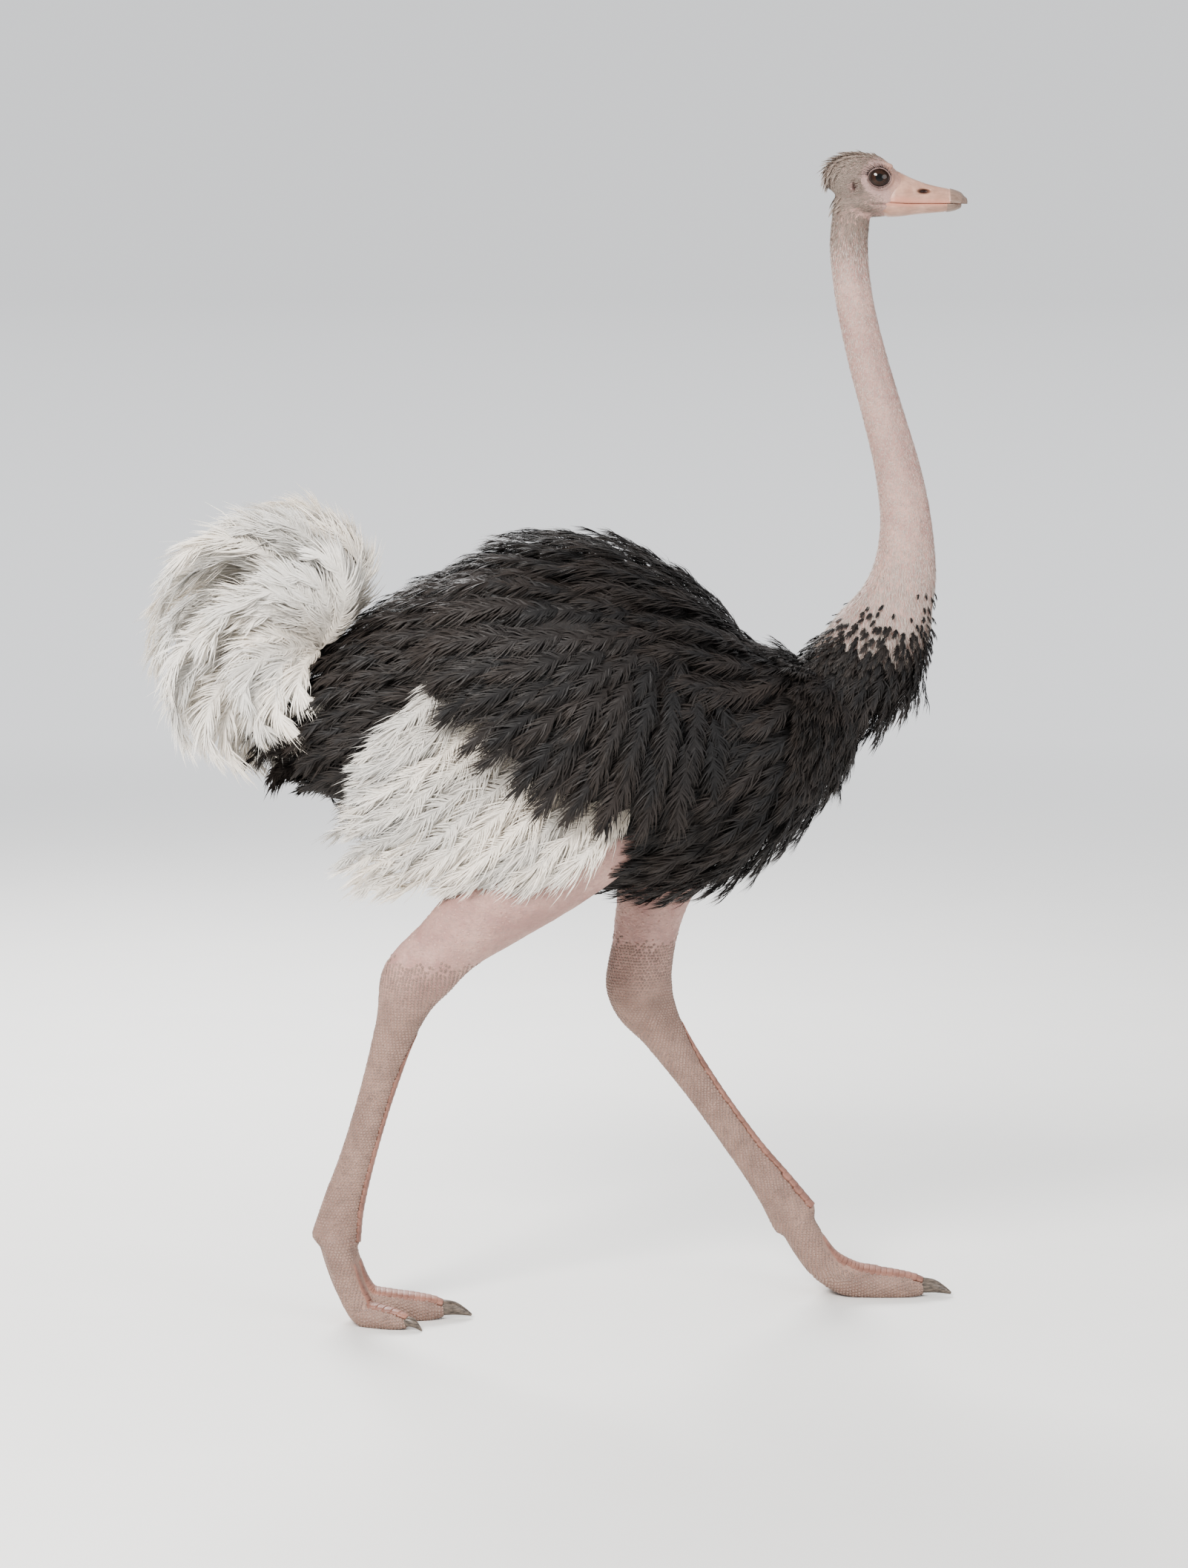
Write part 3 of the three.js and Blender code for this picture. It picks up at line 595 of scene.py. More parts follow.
def shapeNeck(points, normals):
    angle, far, _ = aroundLimb(points, neckRows())
    z = points[:, 2]
    angle = np.abs(angle)
    tall = band(z, 1.30, 1.90, 0.05) * (far < 1.6)
    shape = 1.6 * hump(angle, 0, 0.4) - 1.6 * hump(angle, 0.85, 0.3) + 1.2 * hump(angle, 3.1, 0.6)
    return points + normals * (tall * shape * mm)[:, None]


# how far out of the trunk a point is: 1 on its skin
def trunkShare(points):
    line = denseRows(trunkFlesh, 400)
    at = [np.interp(points[:, 0], line[:, 0], line[:, k]) for k in (2, 3, 4, 5)]
    rise = points[:, 2] - at[0]
    high = np.abs(rise) / np.where(rise > 0, at[1], at[2])
    p = trunk["squareness"]
    return (high ** p + (np.abs(points[:, 1]) / at[3]) ** p) ** (1 / p)


def skinMaterial():
    f = Finish("bareSkin")
    blotch, fine, veins = f.noise(14, 4), f.noise(150), f.noise(42, 5, 0.6, 0.6)
    bare = f.mix(f.ramp(blotch, 0.38, 0.62), (0.36, 0.215, 0.185), (0.47, 0.30, 0.255))
    bare = f.mix(f.ramp(veins, 0.50, 0.72, 0, 0.55), bare, (0.31, 0.165, 0.15))
    bare = f.mix(f.ramp(fine, 0.45, 0.75, 0, 0.45), bare, (0.25, 0.185, 0.17))
    shank = f.mix(f.ramp(blotch, 0.36, 0.64), (0.24, 0.15, 0.12), (0.33, 0.215, 0.17))
    shank = f.mix(f.ramp(veins, 0.45, 0.75, 0, 0.5), shank, (0.17, 0.12, 0.10))
    colour = f.mix(f.attribute("shank"), bare, shank)
    # the near-black tint under the plumage is painted shade, so that gaps between feathers read as deep
    # shadow; the dark red-brown tint is painted shade in the ear hollows and along the gape
    for zone, tint in (("face", (0.27, 0.19, 0.175)), ("horn", (0.40, 0.235, 0.18)),
                       ("shadeUnderCoat", (0.022, 0.019, 0.018)), ("dark", (0.05, 0.022, 0.018))):
        colour = f.mix(f.attribute(zone), colour, tint)
    rough = f.add(f.ramp(fine, 0.3, 0.7, 0.50, 0.68), f.times(f.attribute("shadeUnderCoat"), 0.3))
    cells = f.node("TexVoronoi", {"Vector": f.where, "Scale": 260}).outputs["Distance"]
    creases = f.noise(75, 4, 0.6, 0.8, f.stretched((1, 1, 3.2)))
    height = f.add(f.add(f.times(creases, 1.3), f.times(cells, 0.7)), f.times(fine, 0.5))
    return f.done(colour, rough, (height, 0.55, 0.0022),
                  {"Subsurface Weight": 0.08, "Subsurface Radius": (0.012, 0.004, 0.002)})


def makeSkin():
    points, quads, edges = fuseSkin()
    jaw = hump(points[:, 2], 1.945, 0.03) * (np.abs(points[:, 1]) < 0.05)
    points = relax(points, edges, 14, jaw)
    neckFoot = band(points[:, 2], 1.02, 1.27, 0.04) * fade(points[:, 0], hips[0] + 0.36, hips[0] + 0.44)
    points = relax(points, edges, 30, neckFoot)
    for leg in legs.values():          # the toes round off into their claws
        for toe in bothToes(leg):
            away = np.linalg.norm(points - toe[-1, :3], axis=1)
            points = relax(points, edges, 24, fade(-away, -0.034, -0.020))
    normals = pointNormals(points, quads)
    points = shapeLegs(points, normals)
    points = shapeNeck(points, normals)
    points = shapeEyes(points)
    # shapeFace also gives the painted shade of the ear hollows and the gape
    points, dark = shapeFace(points)
    points[:, 2] = np.maximum(points[:, 2], 0.4 * mm)      # the soles are flat on the floor
    x, y, z = points[:, 0] - hips[0], np.abs(points[:, 1]), points[:, 2]
    neckBase = fade(x, 0.38, 0.46)
    # the skin under the plumage, under the wings' coverts and round the tail's stub is painted near-black:
    # painted shade, so that gaps between feathers read as deep shadow
    shadeUnderCoat = np.maximum.reduce([
        (1 - fade(trunkShare(points), 1.10, 1.22)) * band(z, 0.70, 1.36, 0.02),
        band(z, 0.88, 1.36, 0.02) * fade(y, 0.17, 0.19), fade(-0.36 - x, 0, 0.02) * (z > 0.8),
        (wingSpread(x, z) < 0.9) * (y > 0.15), neckBase * (z > 0.9)])
    local = headPlace(points)
    horn = fade(local[:, 0] + 0.25 * np.abs(local[:, 2] - 40), 425, 500) * (z > 1.93) * 0.8
    values = {"shadeUnderCoat": shadeUnderCoat * (1 - neckBase * fade(z, 1.14, 1.24)), "dark": dark, "horn": horn,
              "shank": 1 - fade(z, 0.53, 0.64), "face": fade(z, 1.93, 1.99) * 0.6}
    skin = makePiece("skin", points, [quads], skinMaterial(), values=values)
    settle(skin, "neck_skin", "head", "neck_upper", "neck_middle", "neck_lower", "trunk",
           "thigh_left", "thigh_right", "shank_left", "shank_right",
           "toe_inner_left", "toe_outer_left", "toe_inner_right", "toe_outer_right")
    print("skin", len(points), "points", len(quads) * 2, "triangles")
    return points, quads


skinPoints, skinQuads = makeSkin()


eyeball = {"iris": 15.5 * mm, "pupil": 6.7 * mm, "cornea": 1.6 * mm, "rings": 48, "sides": 64}


# a ball stretched to three reaches, with the cornea standing out as a lens round the line of sight
def eyePoints(side):
    turn = np.linspace(0, np.pi, eyeball["rings"] + 1)[1:-1]
    around = np.linspace(0, 2 * np.pi, eyeball["sides"], endpoint=False)
    wide, deep = np.sin(turn)[:, None], np.cos(turn)[:, None] * np.ones(len(around))
    rings = np.stack([wide * np.cos(around), deep, -side * wide * np.sin(around)], -1)
    lens = fade(-np.hypot(rings[..., 0] * head["eyeReach"][0], rings[..., 2] * head["eyeReach"][2]),
                -eyeball["iris"] * 1.15, 0) * (deep > 0)
    rings = rings * head["eyeReach"] + np.array([0, 1, 0]) * (lens * eyeball["cornea"])[..., None]
    rings[..., 1] *= side
    front, back = head["eyeReach"][1] + eyeball["cornea"], head["eyeReach"][1]
    poles = side * np.array([[0, front, 0], [0, -back, 0]])
    return closedRings(rings + inHead(head["eye"], side), *(poles + inHead(head["eye"], side)))


def eyeMaterial(side, name):
    f = Finish("eye" + name.capitalize())
    centre = inHead(head["eye"], side)
    flat = f.node("Mapping", {"Vector": f.where, "Location": (-centre[0], 0, -centre[2]),
                  "Scale": (1, 0, 1)}).outputs[0]
    far = f.node("VectorMath", {0: flat}, operation="LENGTH").outputs["Value"]
    streaks = f.noise(9, 4, 0.7, where=f.node("VectorMath", {0: flat}, operation="NORMALIZE").outputs[0])
    rim, pupil, soft = eyeball["iris"], eyeball["pupil"], 0.4 * mm
    iris = f.mix(f.ramp(streaks, 0.35, 0.65), (0.012, 0.005, 0.003), (0.042, 0.017, 0.008))
    iris = f.mix(f.ramp(far, rim - 5.5 * mm, rim), iris, (0.014, 0.007, 0.005))
    iris = f.mix(f.ramp(far, pupil - soft, pupil + soft, 1, 0), iris, (0.002, 0.002, 0.002))
    colour = f.mix(f.ramp(far, rim - 0.2 * mm, rim + 0.9 * mm), iris, (0.05, 0.035, 0.03))
    rough = f.ramp(far, rim - 0.2 * mm, rim + 1.5 * mm, 0.12, 0.3)
    wet = {"Specular IOR Level": 0.06, "Coat Weight": 0.6, "Coat Roughness": 0.02}
    return f.done(colour, rough, sockets=wet)


# the lids' rim: angle 0 is the front corner, pi / 2 the top; it lies on the eyeball, lifted off it
def rimPoint(angle, side, lift):
    u = signedPower(np.cos(angle), 2 / opening["corner"]) * opening["long"]
    dx, dz = tilted(u, np.sin(angle) * opening["high"], opening["tilt"])
    reach = head["eyeReach"] + lift
    dy = reach[1] * np.sqrt(np.maximum(1 - (dx / reach[0]) ** 2 - (dz / reach[2]) ** 2, 0.02))
    return inHead(head["eye"], side) + np.stack([dx, side * dy, dz], -1)


lidLook = {"long": 120, "around": 12}


# a round profile carried along a closed path, thicker along the upper lid
def makeLids(side, name, material):
    turn = np.linspace(0, 2 * np.pi, lidLook["long"], endpoint=False)
    path = rimPoint(turn, side, 0.9 * mm)
    ahead = unit(np.roll(path, -1, 0) - np.roll(path, 1, 0))
    out = unit((path - inHead(head["eye"], side)) / head["eyeReach"] ** 2)
    across = np.cross(ahead, out)
    around = np.linspace(0, 2 * np.pi, lidLook["around"], endpoint=False)[:, None]
    thick = (1.05 + 0.75 * fade(np.sin(turn), -0.3, 0.6)) * mm
    grid = path[:, None] + thick[:, None, None] * (across[:, None] * np.cos(around)
                                                   + out[:, None] * np.sin(around))
    quads = ringQuads(lidLook["long"], lidLook["around"], True)[:, ::side]
    settle(makePiece("lids_" + name, grid.reshape(-1, 3), [quads], material), "neck_skin")


# a bristle: three-sided, thinning to a point. point = root + length * (way * s + fall * s^2)
def bristles(root, way, fall, length, thick, stations=5):
    s = np.linspace(0, 1, stations)[None, :, None]
    line = root[:, None] + length[:, None, None] * (way[:, None] * s + fall[:, None] * s ** 2)
    ahead = unit(np.gradient(line, axis=1))
    first = unit(np.cross(ahead, np.array([0.31, 0.2, 0.93])))
    second = np.cross(ahead, first)
    corner = np.arange(3) * 2 * np.pi / 3
    reach = thick * (1 - 0.85 * s ** 1.5)
    rings = (line[:, :, None] + reach[..., None] * (first[:, :, None] * np.cos(corner)[:, None]
             + second[:, :, None] * np.sin(corner)[:, None]))
    base = (np.arange(len(root)) * stations * 3)[:, None, None]
    quads = (base + ringQuads(stations, 3)[:, [0, 3, 2, 1]]).reshape(-1, 4)
    ends = base[:, 0] + np.array([0, 2, 1])
    tips = base[:, 0] + (stations - 1) * 3 + np.array([0, 1, 2])
    return rings.reshape(-1, 3), [quads, np.vstack([ends, tips])]


lashLook = {"thick": 0.40 * mm,        # count, from and to in half turns, length, droop
            "rows": ((58, 0.10, 0.97, 17 * mm, 0.10), (26, 1.08, 1.90, 6 * mm, 0.05))}


def makeLashes(side, name, material):
    parts, centre = [], inHead(head["eye"], side)
    for count, low, high, length, droop in lashLook["rows"]:
        turn = np.pi * np.linspace(low, high, count) + rng.normal(0, 0.012, count)
        root = rimPoint(turn, side, 1.6 * mm)
        spread = unit((root - centre) * np.array([1, 0, 1]))
        way = unit(spread * 0.75 + np.array([-0.45, side * 0.85, 0]) + rng.normal(0, 0.06, (count, 3)))
        fall = np.array([-0.10, 0, -droop]) + spread * 0.12 - np.array([0, side * 0.18, 0])
        reach = length * (0.65 + 0.35 * np.sin(np.pi * np.linspace(0.1, 0.75, count)))
        reach = reach * rng.uniform(0.85, 1.1, count)
        parts.append(bristles(root, way, fall + 0 * way, reach, lashLook["thick"]))
    settle(makePiece("lashes_" + name, *joined(parts), material), "neck_skin")


def lidMaterial():
    f = Finish("lidEdge")
    grain = f.noise(500)
    colour = f.mix(f.ramp(grain, 0.35, 0.65), (0.10, 0.065, 0.06), (0.24, 0.16, 0.145))
    return f.done(colour, 0.42, (grain, 0.4, 0.0006))


def lashMaterial():
    f = Finish("lashes")
    return f.done(f.mix(f.noise(300, 2), (0.010, 0.008, 0.007), (0.03, 0.024, 0.02)), 0.4)


lidGrey, lashBlack = lidMaterial(), lashMaterial()
for side, name in sides:
    settle(makePiece("eyeball_" + name, *eyePoints(side), eyeMaterial(side, name)), "eye", "eye_" + name)
    makeLids(side, name, lidGrey)
    makeLashes(side, name, lashBlack)
print("eyes done")


bill = {
    "upper": np.array([           # x, height of the ridge, half width
        [478, 232, 133], [552, 198, 131], [638, 160, 123], [722, 131, 114],
        [806, 111, 106], [890, 95, 95], [950, 77, 80], [976, 58, 62]]),
    "lower": np.array([           # x, depth, half width
        [415, 104, 126], [510, 96, 126], [638, 77, 116], [764, 66, 104], [870, 56, 89], [934, 42, 68]]),
    "squareness": 2.1, "dome": 24, "nostril": ((690, 84), (42, 17)), "nail": {1: 868, -1: 846},
    # swelling, angle from the ridge, spread, from, to; by half, 1 the upper and -1 the lower
    "groove": {1: (-7.0, 0.62, 0.20, 520, 800), -1: (-4.0, 0.85, 0.16, 560, 860)},
    "lip": {1: (3.5, 1.45, 0.16, 560, 940), -1: (3.0, 1.40, 0.18, 520, 900)},
    "outer": 57, "inner": 21, "long": 110,
}


# one half of the bill: a half superellipse over a hollowed mouth side, closed to a rounded tip
def makeBillHalf(name, rows, up, material):
    start, end, blunt = rows[0, 0], rows[-1, 0] + bill["dome"], 2.6 * bill["dome"]
    x = start + (end - start) * np.linspace(0, 1, bill["long"]) ** 0.85
    line = denseRows(rows)
    height, width = (np.interp(x, line[:, 0], line[:, k])[:, None] for k in (1, 2))
    x = x[:, None]
    close = np.sqrt(np.maximum(1 - np.clip((x - end + blunt) / blunt, 0, 1) ** 2.2, 1e-4))
    height, width = height * (0.30 + 0.70 * close), width * close
    angle = np.linspace(-np.pi / 2, np.pi / 2, bill["outer"])
    y = width * signedPower(np.sin(angle), 2 / bill["squareness"])
    z = height * signedPower(np.cos(angle), 2 / bill["squareness"])
    turn = np.abs(angle) + 0 * y
    behind = 1 - fade(x, start, start + 70)     # the rear edge runs back along the mouth
    run = x - 34 * behind * fade(turn, 0.45, 1.35)
    ridge = lambda high, at, spread, low, to, soft: high * hump(turn, at, spread) * band(run, low, to, soft)
    (nostrilX, nostrilZ), (long, tall) = bill["nostril"]
    far = np.hypot((run - nostrilX) / long, (z - nostrilZ) / tall)
    hole, nail = np.exp(-far ** 4) * (up > 0), fade(run, bill["nail"][up], bill["nail"][up] + 9)
    rise = (ridge(*bill["groove"][up], 40) + ridge(*bill["lip"][up], 30) + 3.0 * nail
            + 3.0 * hump(far, 1.45, 0.25) * (up > 0) - 2.5 * hump(run, bill["nail"][up] - 6, 6))
    scale = (1 + rise / np.maximum(np.hypot(y, z), 25)) * (0.90 + 0.10 * fade(x, start, start + 34))
    y, z = y * scale * (1 - 0.5 * hole), np.maximum(z * scale * (1 - 0.05 * hole), 0)
    inner = np.linspace(1, -1, bill["inner"] + 2)[None, 1:-1]
    yIn = width * inner * 0.96
    zIn = np.minimum(4 + 10 * (1 - inner ** 2), height * 0.3)
    droop = -6 * fade(x, 880, 1000) * (1 if up > 0 else 0.6) + 7 * (1 - fade(x, 415, 600))
    whole = lambda outside, mouth: np.hstack([outside, mouth + 0 * yIn])[:, ::up]
    ring = np.stack([whole(run, x), whole(y, yIn), whole(up * z + droop, up * zIn + droop)], -1)
    place = ring * head["unit"] + head["place"] + hips + np.array([0, 0, up * 0.25 * mm])
    points, faces = closedRings(place, place[0].mean(0), place[-1].mean(0))
    pad = lambda outside, mouth: np.append(whole(outside, mouth), [mouth, mouth])
    # the nostril's hollow is darkened: painted shade
    values = {"along": pad(run / 1000, 0.5), "nail": pad(nail, 0.0), "dark": pad(hole, 0.0),
              "edge": pad(fade(turn, 1.25, 1.55) * (1 - nail), 1.0)}
    settle(makePiece(name, points, faces, material, values=values), "bill_horn", name.replace("horn", "bill"))


def billMaterial():
    f = Finish("billHorn")
    streaks, cloud = f.noise(260, 4, 0.6, where=f.stretched((0.22, 1, 1))), f.noise(38, 4)
    horn = f.mix(f.ramp(cloud, 0.35, 0.65), (0.36, 0.20, 0.145), (0.49, 0.30, 0.225))
    horn = f.mix(f.ramp(streaks, 0.42, 0.72, 0, 0.6), horn, (0.27, 0.165, 0.125))
    horn = f.mix(f.times(f.attribute("edge"), 0.7), horn, (0.46, 0.20, 0.145))
    nail = f.mix(f.ramp(streaks, 0.35, 0.7), (0.13, 0.095, 0.075), (0.25, 0.18, 0.145))
    colour = f.mix(f.times(f.attribute("nail"), 0.85), horn, nail)
    # painted shade in the nostril's hollow
    colour = f.mix(f.attribute("dark"), colour, (0.035, 0.015, 0.012))
    return f.done(colour, f.ramp(streaks, 0.3, 0.7, 0.30, 0.46),
                  (f.add(streaks, f.times(f.noise(700), 0.35)), 0.35, 0.0012))


hornPink = billMaterial()
makeBillHalf("horn_upper", bill["upper"], 1, hornPink)
makeBillHalf("horn_lower", bill["lower"], -1, hornPink)
print("bill done")


clawLook = {"inner": (50, 16), "outer": (28, 10.5), "squareness": 2.2, "mesh": (36, 28, (0.0, 0.0025)),
            "bend": np.array([[-0.30, 1, 1.02], [-0.13, 3, 1.0], [0.35, 2, 0.86], [0.7, -3, 0.55],
                              [1, -9, 0.2]])}


def clawMaterial():
    f = Finish("clawHorn")
    streaks = f.noise(420, 4, 0.6, where=f.stretched((0.2, 1, 1)))
    colour = f.mix(f.ramp(streaks, 0.35, 0.7), (0.045, 0.036, 0.03), (0.19, 0.15, 0.12))
    return f.done(colour, f.ramp(streaks, 0.3, 0.7, 0.28, 0.45), (streaks, 0.4, 0.001))


# the claw goes on from the toe's last row: share of its length, rise and share of its thickness
def makeClaws():
    horn = clawMaterial()
    for name, leg in legs.items():
        for which, toe in zip(("inner", "outer"), bothToes(leg)):
            long, thick = np.array(clawLook[which]) * mm
            run, rise, share = clawLook["bend"].T
            ahead = unit((toe[-1, :2] - toe[-2, :2])[None])
            place = toe[-1, :3] + np.hstack([run[:, None] * long * ahead, rise[:, None] * mm])
            rows = np.column_stack([place, np.outer(thick * share, (1, 0.8, 0.86))])
            points, faces = sectionBody(rows, *clawLook["mesh"], squareness=clawLook["squareness"])
            points[:, 2] = np.maximum(points[:, 2], 0.5 * mm)
            own = which + "_" + name
            settle(makePiece("nail_" + own, points, faces, horn), "claw_horn", "claw_" + own)


makeClaws()


# feathers are vanes of barbs on a quill
bodyVane = {"barbs": 50, "cells": 2, "from": 0.08, "fork": (1.10, 0.28), "bow": 0.30, "droop": 0.42,
            "barb": 1.45 * mm, "quill": 0.9 * mm, "fray": 0.22, "loose": 0.10, "clump": 0.13}
smallVane = {"barbs": 16, "cells": 2, "from": 0.06, "fork": (1.0, 0.28), "bow": 0.30, "droop": 0.35,
             "barb": 1.3 * mm, "quill": 0.5 * mm, "fray": 0.25, "loose": 0.12, "clump": 0.12}
plumeVane = {"barbs": 165, "cells": 3, "from": 0.04, "fork": (1.15, 0.36), "bow": 0.40, "droop": 0.36,
             "barb": 1.25 * mm, "quill": 1.4 * mm, "fray": 0.22, "loose": 0.13, "clump": 0.20}
flightVane = {"barbs": 210, "cells": 3, "from": 0.08, "fork": (0.95, 0.32), "bow": 0.42, "droop": 0.42,
              "barb": 0.95 * mm, "quill": 1.2 * mm, "fray": 0.24, "loose": 0.15, "clump": 0.24}
patch = 0.003                    # how much of the coat's map one feather takes


# ribbons along lines (n, k, 3), narrowing to a point at the last station; flat is their width's
# direction, local their place in the feather's own patch of the map
def ribbons(line, flat, half, local, root, wide, values):
    n, k = line.shape[:2]
    twice = lambda a: np.concatenate([np.repeat(a[:, :-1], 2, 1), a[:, -1:]], 1)
    sign = np.concatenate([np.tile([-1.0, 1.0], k - 1), [0.0]])[None, :, None]
    points = twice(line) + sign * twice(flat * half[..., None])
    uv = twice(local) + sign * np.array([0, 1]) * twice(wide + 0 * half)[..., None]
    uv = root[:, None] + patch * np.clip(uv - np.array([0, 0.5]), -0.6, 0.6)
    first = (np.arange(n) * (2 * k - 1))[:, None, None]
    cell = (np.arange(k - 2) * 2)[None, :, None]
    quads = (first + cell + np.array([0, 2, 3, 1])).reshape(-1, 4)
    tris = first[:, 0] + np.array([2 * k - 4, 2 * k - 2, 2 * k - 3])
    return {"points": points.reshape(-1, 3), "faces": [quads, tris], "uv": uv.reshape(-1, 2),
            "values": {key: twice(np.broadcast_to(v, (n, k))).ravel() for key, v in values.items()}}


# field (n, k, 3) read at shares of the quill (n, m)
def alongQuill(field, share):
    spot = np.clip(share, 0, 1) * (field.shape[1] - 1)
    i = np.minimum(spot.astype(int), field.shape[1] - 2)
    u, n = (spot - i)[..., None], np.arange(len(field))[:, None]
    return field[n, i] * (1 - u) + field[n, i + 1] * u


# path (n, k, 3) runs up each quill, out is its upper side, width the vane's half width.
# barb = quill + reach * (across * (sin fork * u - bow * u^2 / 2) + ahead * (cos fork * u + bow * u^2)
#        + out * (loose * u - droop * u^2)), u running from the quill to the barb's tip; slow waves along
# the quill gather the barbs into loose clumps
def vanes(path, out, width, tone, root, look):
    n, k = path.shape[:2]
    m, cells = look["barbs"], look["cells"]
    quillAhead = unit(np.gradient(path, axis=1))
    quillOut = tangent(out, quillAhead)
    length = np.linalg.norm(np.diff(path, axis=1), axis=2).sum(1)
    s = look["from"] + (1 - look["from"]) * (np.arange(m) + 0.5) / m
    s = np.clip(s + rng.normal(0, 0.25 / m, (n, 2, m)), 0, 1).reshape(n, 2 * m)
    side = np.repeat([1.0, -1.0], m)[None, :, None]
    place, ahead, over = (alongQuill(f, s) for f in (path, quillAhead, quillOut))
    ahead, over = unit(ahead)[:, :, None], unit(over)[:, :, None]
    across = np.cross(ahead, over) * side[..., None]
    outline = (0.45 + 0.55 * fade(s, 0, 0.38)) * np.sqrt(1 - (np.maximum(s - 0.52, 0) / 0.60) ** 2)
    wave = lambda rate: look["clump"] * np.sin(s * rate + np.repeat(rng.uniform(0, 6.3, (n, 2)), m, 1))
    reach = width[:, None] * outline * (1 + 0.6 * wave(29) + rng.normal(0, look["fray"], s.shape))
    fork = look["fork"][0] + (look["fork"][1] - look["fork"][0]) * s ** 1.3 + wave(21) + 0.7 * wave(47)
    fork = fork + rng.normal(0, 0.09, s.shape)
    loose = 0.10 + 0.8 * wave(17) + rng.normal(0, look["loose"], s.shape)
    u = np.linspace(0, 1, cells + 1)
    sideways = np.sin(fork)[..., None] * u - 0.5 * look["bow"] * u ** 2
    forward = np.cos(fork)[..., None] * u + look["bow"] * u ** 2
    lifted = loose[..., None] * u - look["droop"] * u ** 2
    way = across * sideways[..., None] + ahead * forward[..., None] + over * lifted[..., None]
    line = place[:, :, None] + reach[..., None, None] * way
    twist = rng.normal(0, 0.25, s.shape)[..., None, None]
    flat = unit(np.cross(over, unit(np.gradient(way, axis=2))) + over * twist)
    local = np.stack([side * sideways * outline[..., None] * 0.5,
                      s[..., None] + (reach / length[:, None])[..., None] * forward], -1)
    rows = lambda a: a.reshape((n * 2 * m,) + a.shape[2:])
    barbs = ribbons(rows(line), rows(flat), rows(look["barb"] * (1 - 0.45 * u) + 0 * sideways), rows(local),
                    np.repeat(root, 2 * m, 0), rows((look["barb"] / length)[:, None, None] + 0 * sideways),
                    {"along": rows(np.clip(local[..., 1], 0, 1)), "edge": u[None],
                     "tone": np.repeat(tone, 2 * m)[:, None]})
    t = np.linspace(0, 1, k)
    stem = ribbons(path + quillOut * 0.4 * mm, np.cross(quillOut, quillAhead),
                   look["quill"] * (1 - 0.75 * t)[None] + np.zeros((n, 1)),
                   np.stack([0 * t, t], -1)[None] + np.zeros((n, 1, 1)), root, 0.01,
                   {"along": t[None], "edge": 0 * t[None], "tone": tone[:, None]})
    return [barbs, stem]


def coatPiece(name, slot, material, coats, *nodes):
    points, faces = joined([(c["points"], c["faces"]) for c in coats])
    uv = np.vstack([c["uv"] for c in coats])
    values = {key: np.concatenate([c["values"][key] for c in coats]) for key in coats[0]["values"]}
    print(name, sum(len(f) * (f.shape[1] - 2) for f in faces), "triangles")
    return settle(makePiece(name, points, faces, material, uv, values), slot, *nodes)


def rootMap(u, v):     # each root's place on the piece's map, which it fills
    spread = lambda a: 0.04 + 0.92 * (a - a.min()) / np.ptp(a)
    return np.stack([spread(u), spread(v)], 1)


# a quill that leaves the skin at the lift angle and bends back to the settle angle:
# place = root + the sum of steps of (lie * cos + out * sin) of that angle + sideways bend * s^2
def lyingQuills(root, lie, out, length, lift, settle, bend, stations=7):
    s = np.linspace(0, 1, stations)[None]
    angle = lift[:, None] * (1 - s) + settle[:, None] * s
    step = length[:, None] / (stations - 1)
    total = lambda a: np.cumsum(np.hstack([0 * step, (a[:, 1:] + a[:, :-1]) / 2 * step]), 1)[..., None]
    aside = np.cross(lie, out)[:, None] * (bend * length)[:, None, None] * s[..., None] ** 2
    path = root[:, None] + lie[:, None] * total(np.cos(angle)) + out[:, None] * total(np.sin(angle)) + aside
    over = out[:, None] * np.cos(angle)[..., None] - lie[:, None] * np.sin(angle)[..., None]
    return path, over


def featherMaterial(name, root, vane, edge, warm, rough, sheen):
    f = Finish(name)
    along, tip, tone = (f.attribute(a) for a in ("along", "edge", "tone"))
    grain, cloud = f.noise(240, 2), f.noise(7)
    colour = f.mix(f.ramp(along, 0.05, 0.6), root, vane)
    colour = f.mix(f.times(f.ramp(tip, 0.25, 1), f.ramp(along, 0.35, 1)), colour, edge)
    colour = f.mix(f.ramp(f.add(f.times(tone, 0.5), cloud), 0.55, 1.1, 0, 0.6), colour, warm)
    shade = f.ramp(f.add(grain, tone), 0.5, 1.6, 0.72, 1.22)
    grey = f.node("CombineColor", {"Red": shade, "Green": shade, "Blue": shade}).outputs[0]
    soft = {"Sheen Weight": sheen, "Sheen Roughness": 0.4, "Specular IOR Level": 0.35}
    rough = f.ramp(grain, 0.3, 0.7, rough - 0.08, rough + 0.08)
    return f.done(f.mix(1.0, colour, grey, "MULTIPLY"), rough, sockets=soft)


blackFeather = featherMaterial("blackFeather", (0.006, 0.005, 0.005), (0.013, 0.0115, 0.0115),
                               (0.040, 0.032, 0.027), (0.026, 0.018, 0.014), 0.58, 0.05)
whiteFeather = featherMaterial("whiteFeather", (0.52, 0.47, 0.41), (0.74, 0.71, 0.66),
                               (0.84, 0.82, 0.78), (0.68, 0.60, 0.50), 0.6, 0.1)

plumage = {"rowGap": 0.031, "sideGap": 0.034, "length": 0.122, "width": 0.036, "lift": 0.52, "settle": 0.14}


def trunkSkin(share, angle):
    return sectionPoint(trunkFlesh, share, angle, 0.0, True, trunk["squareness"])


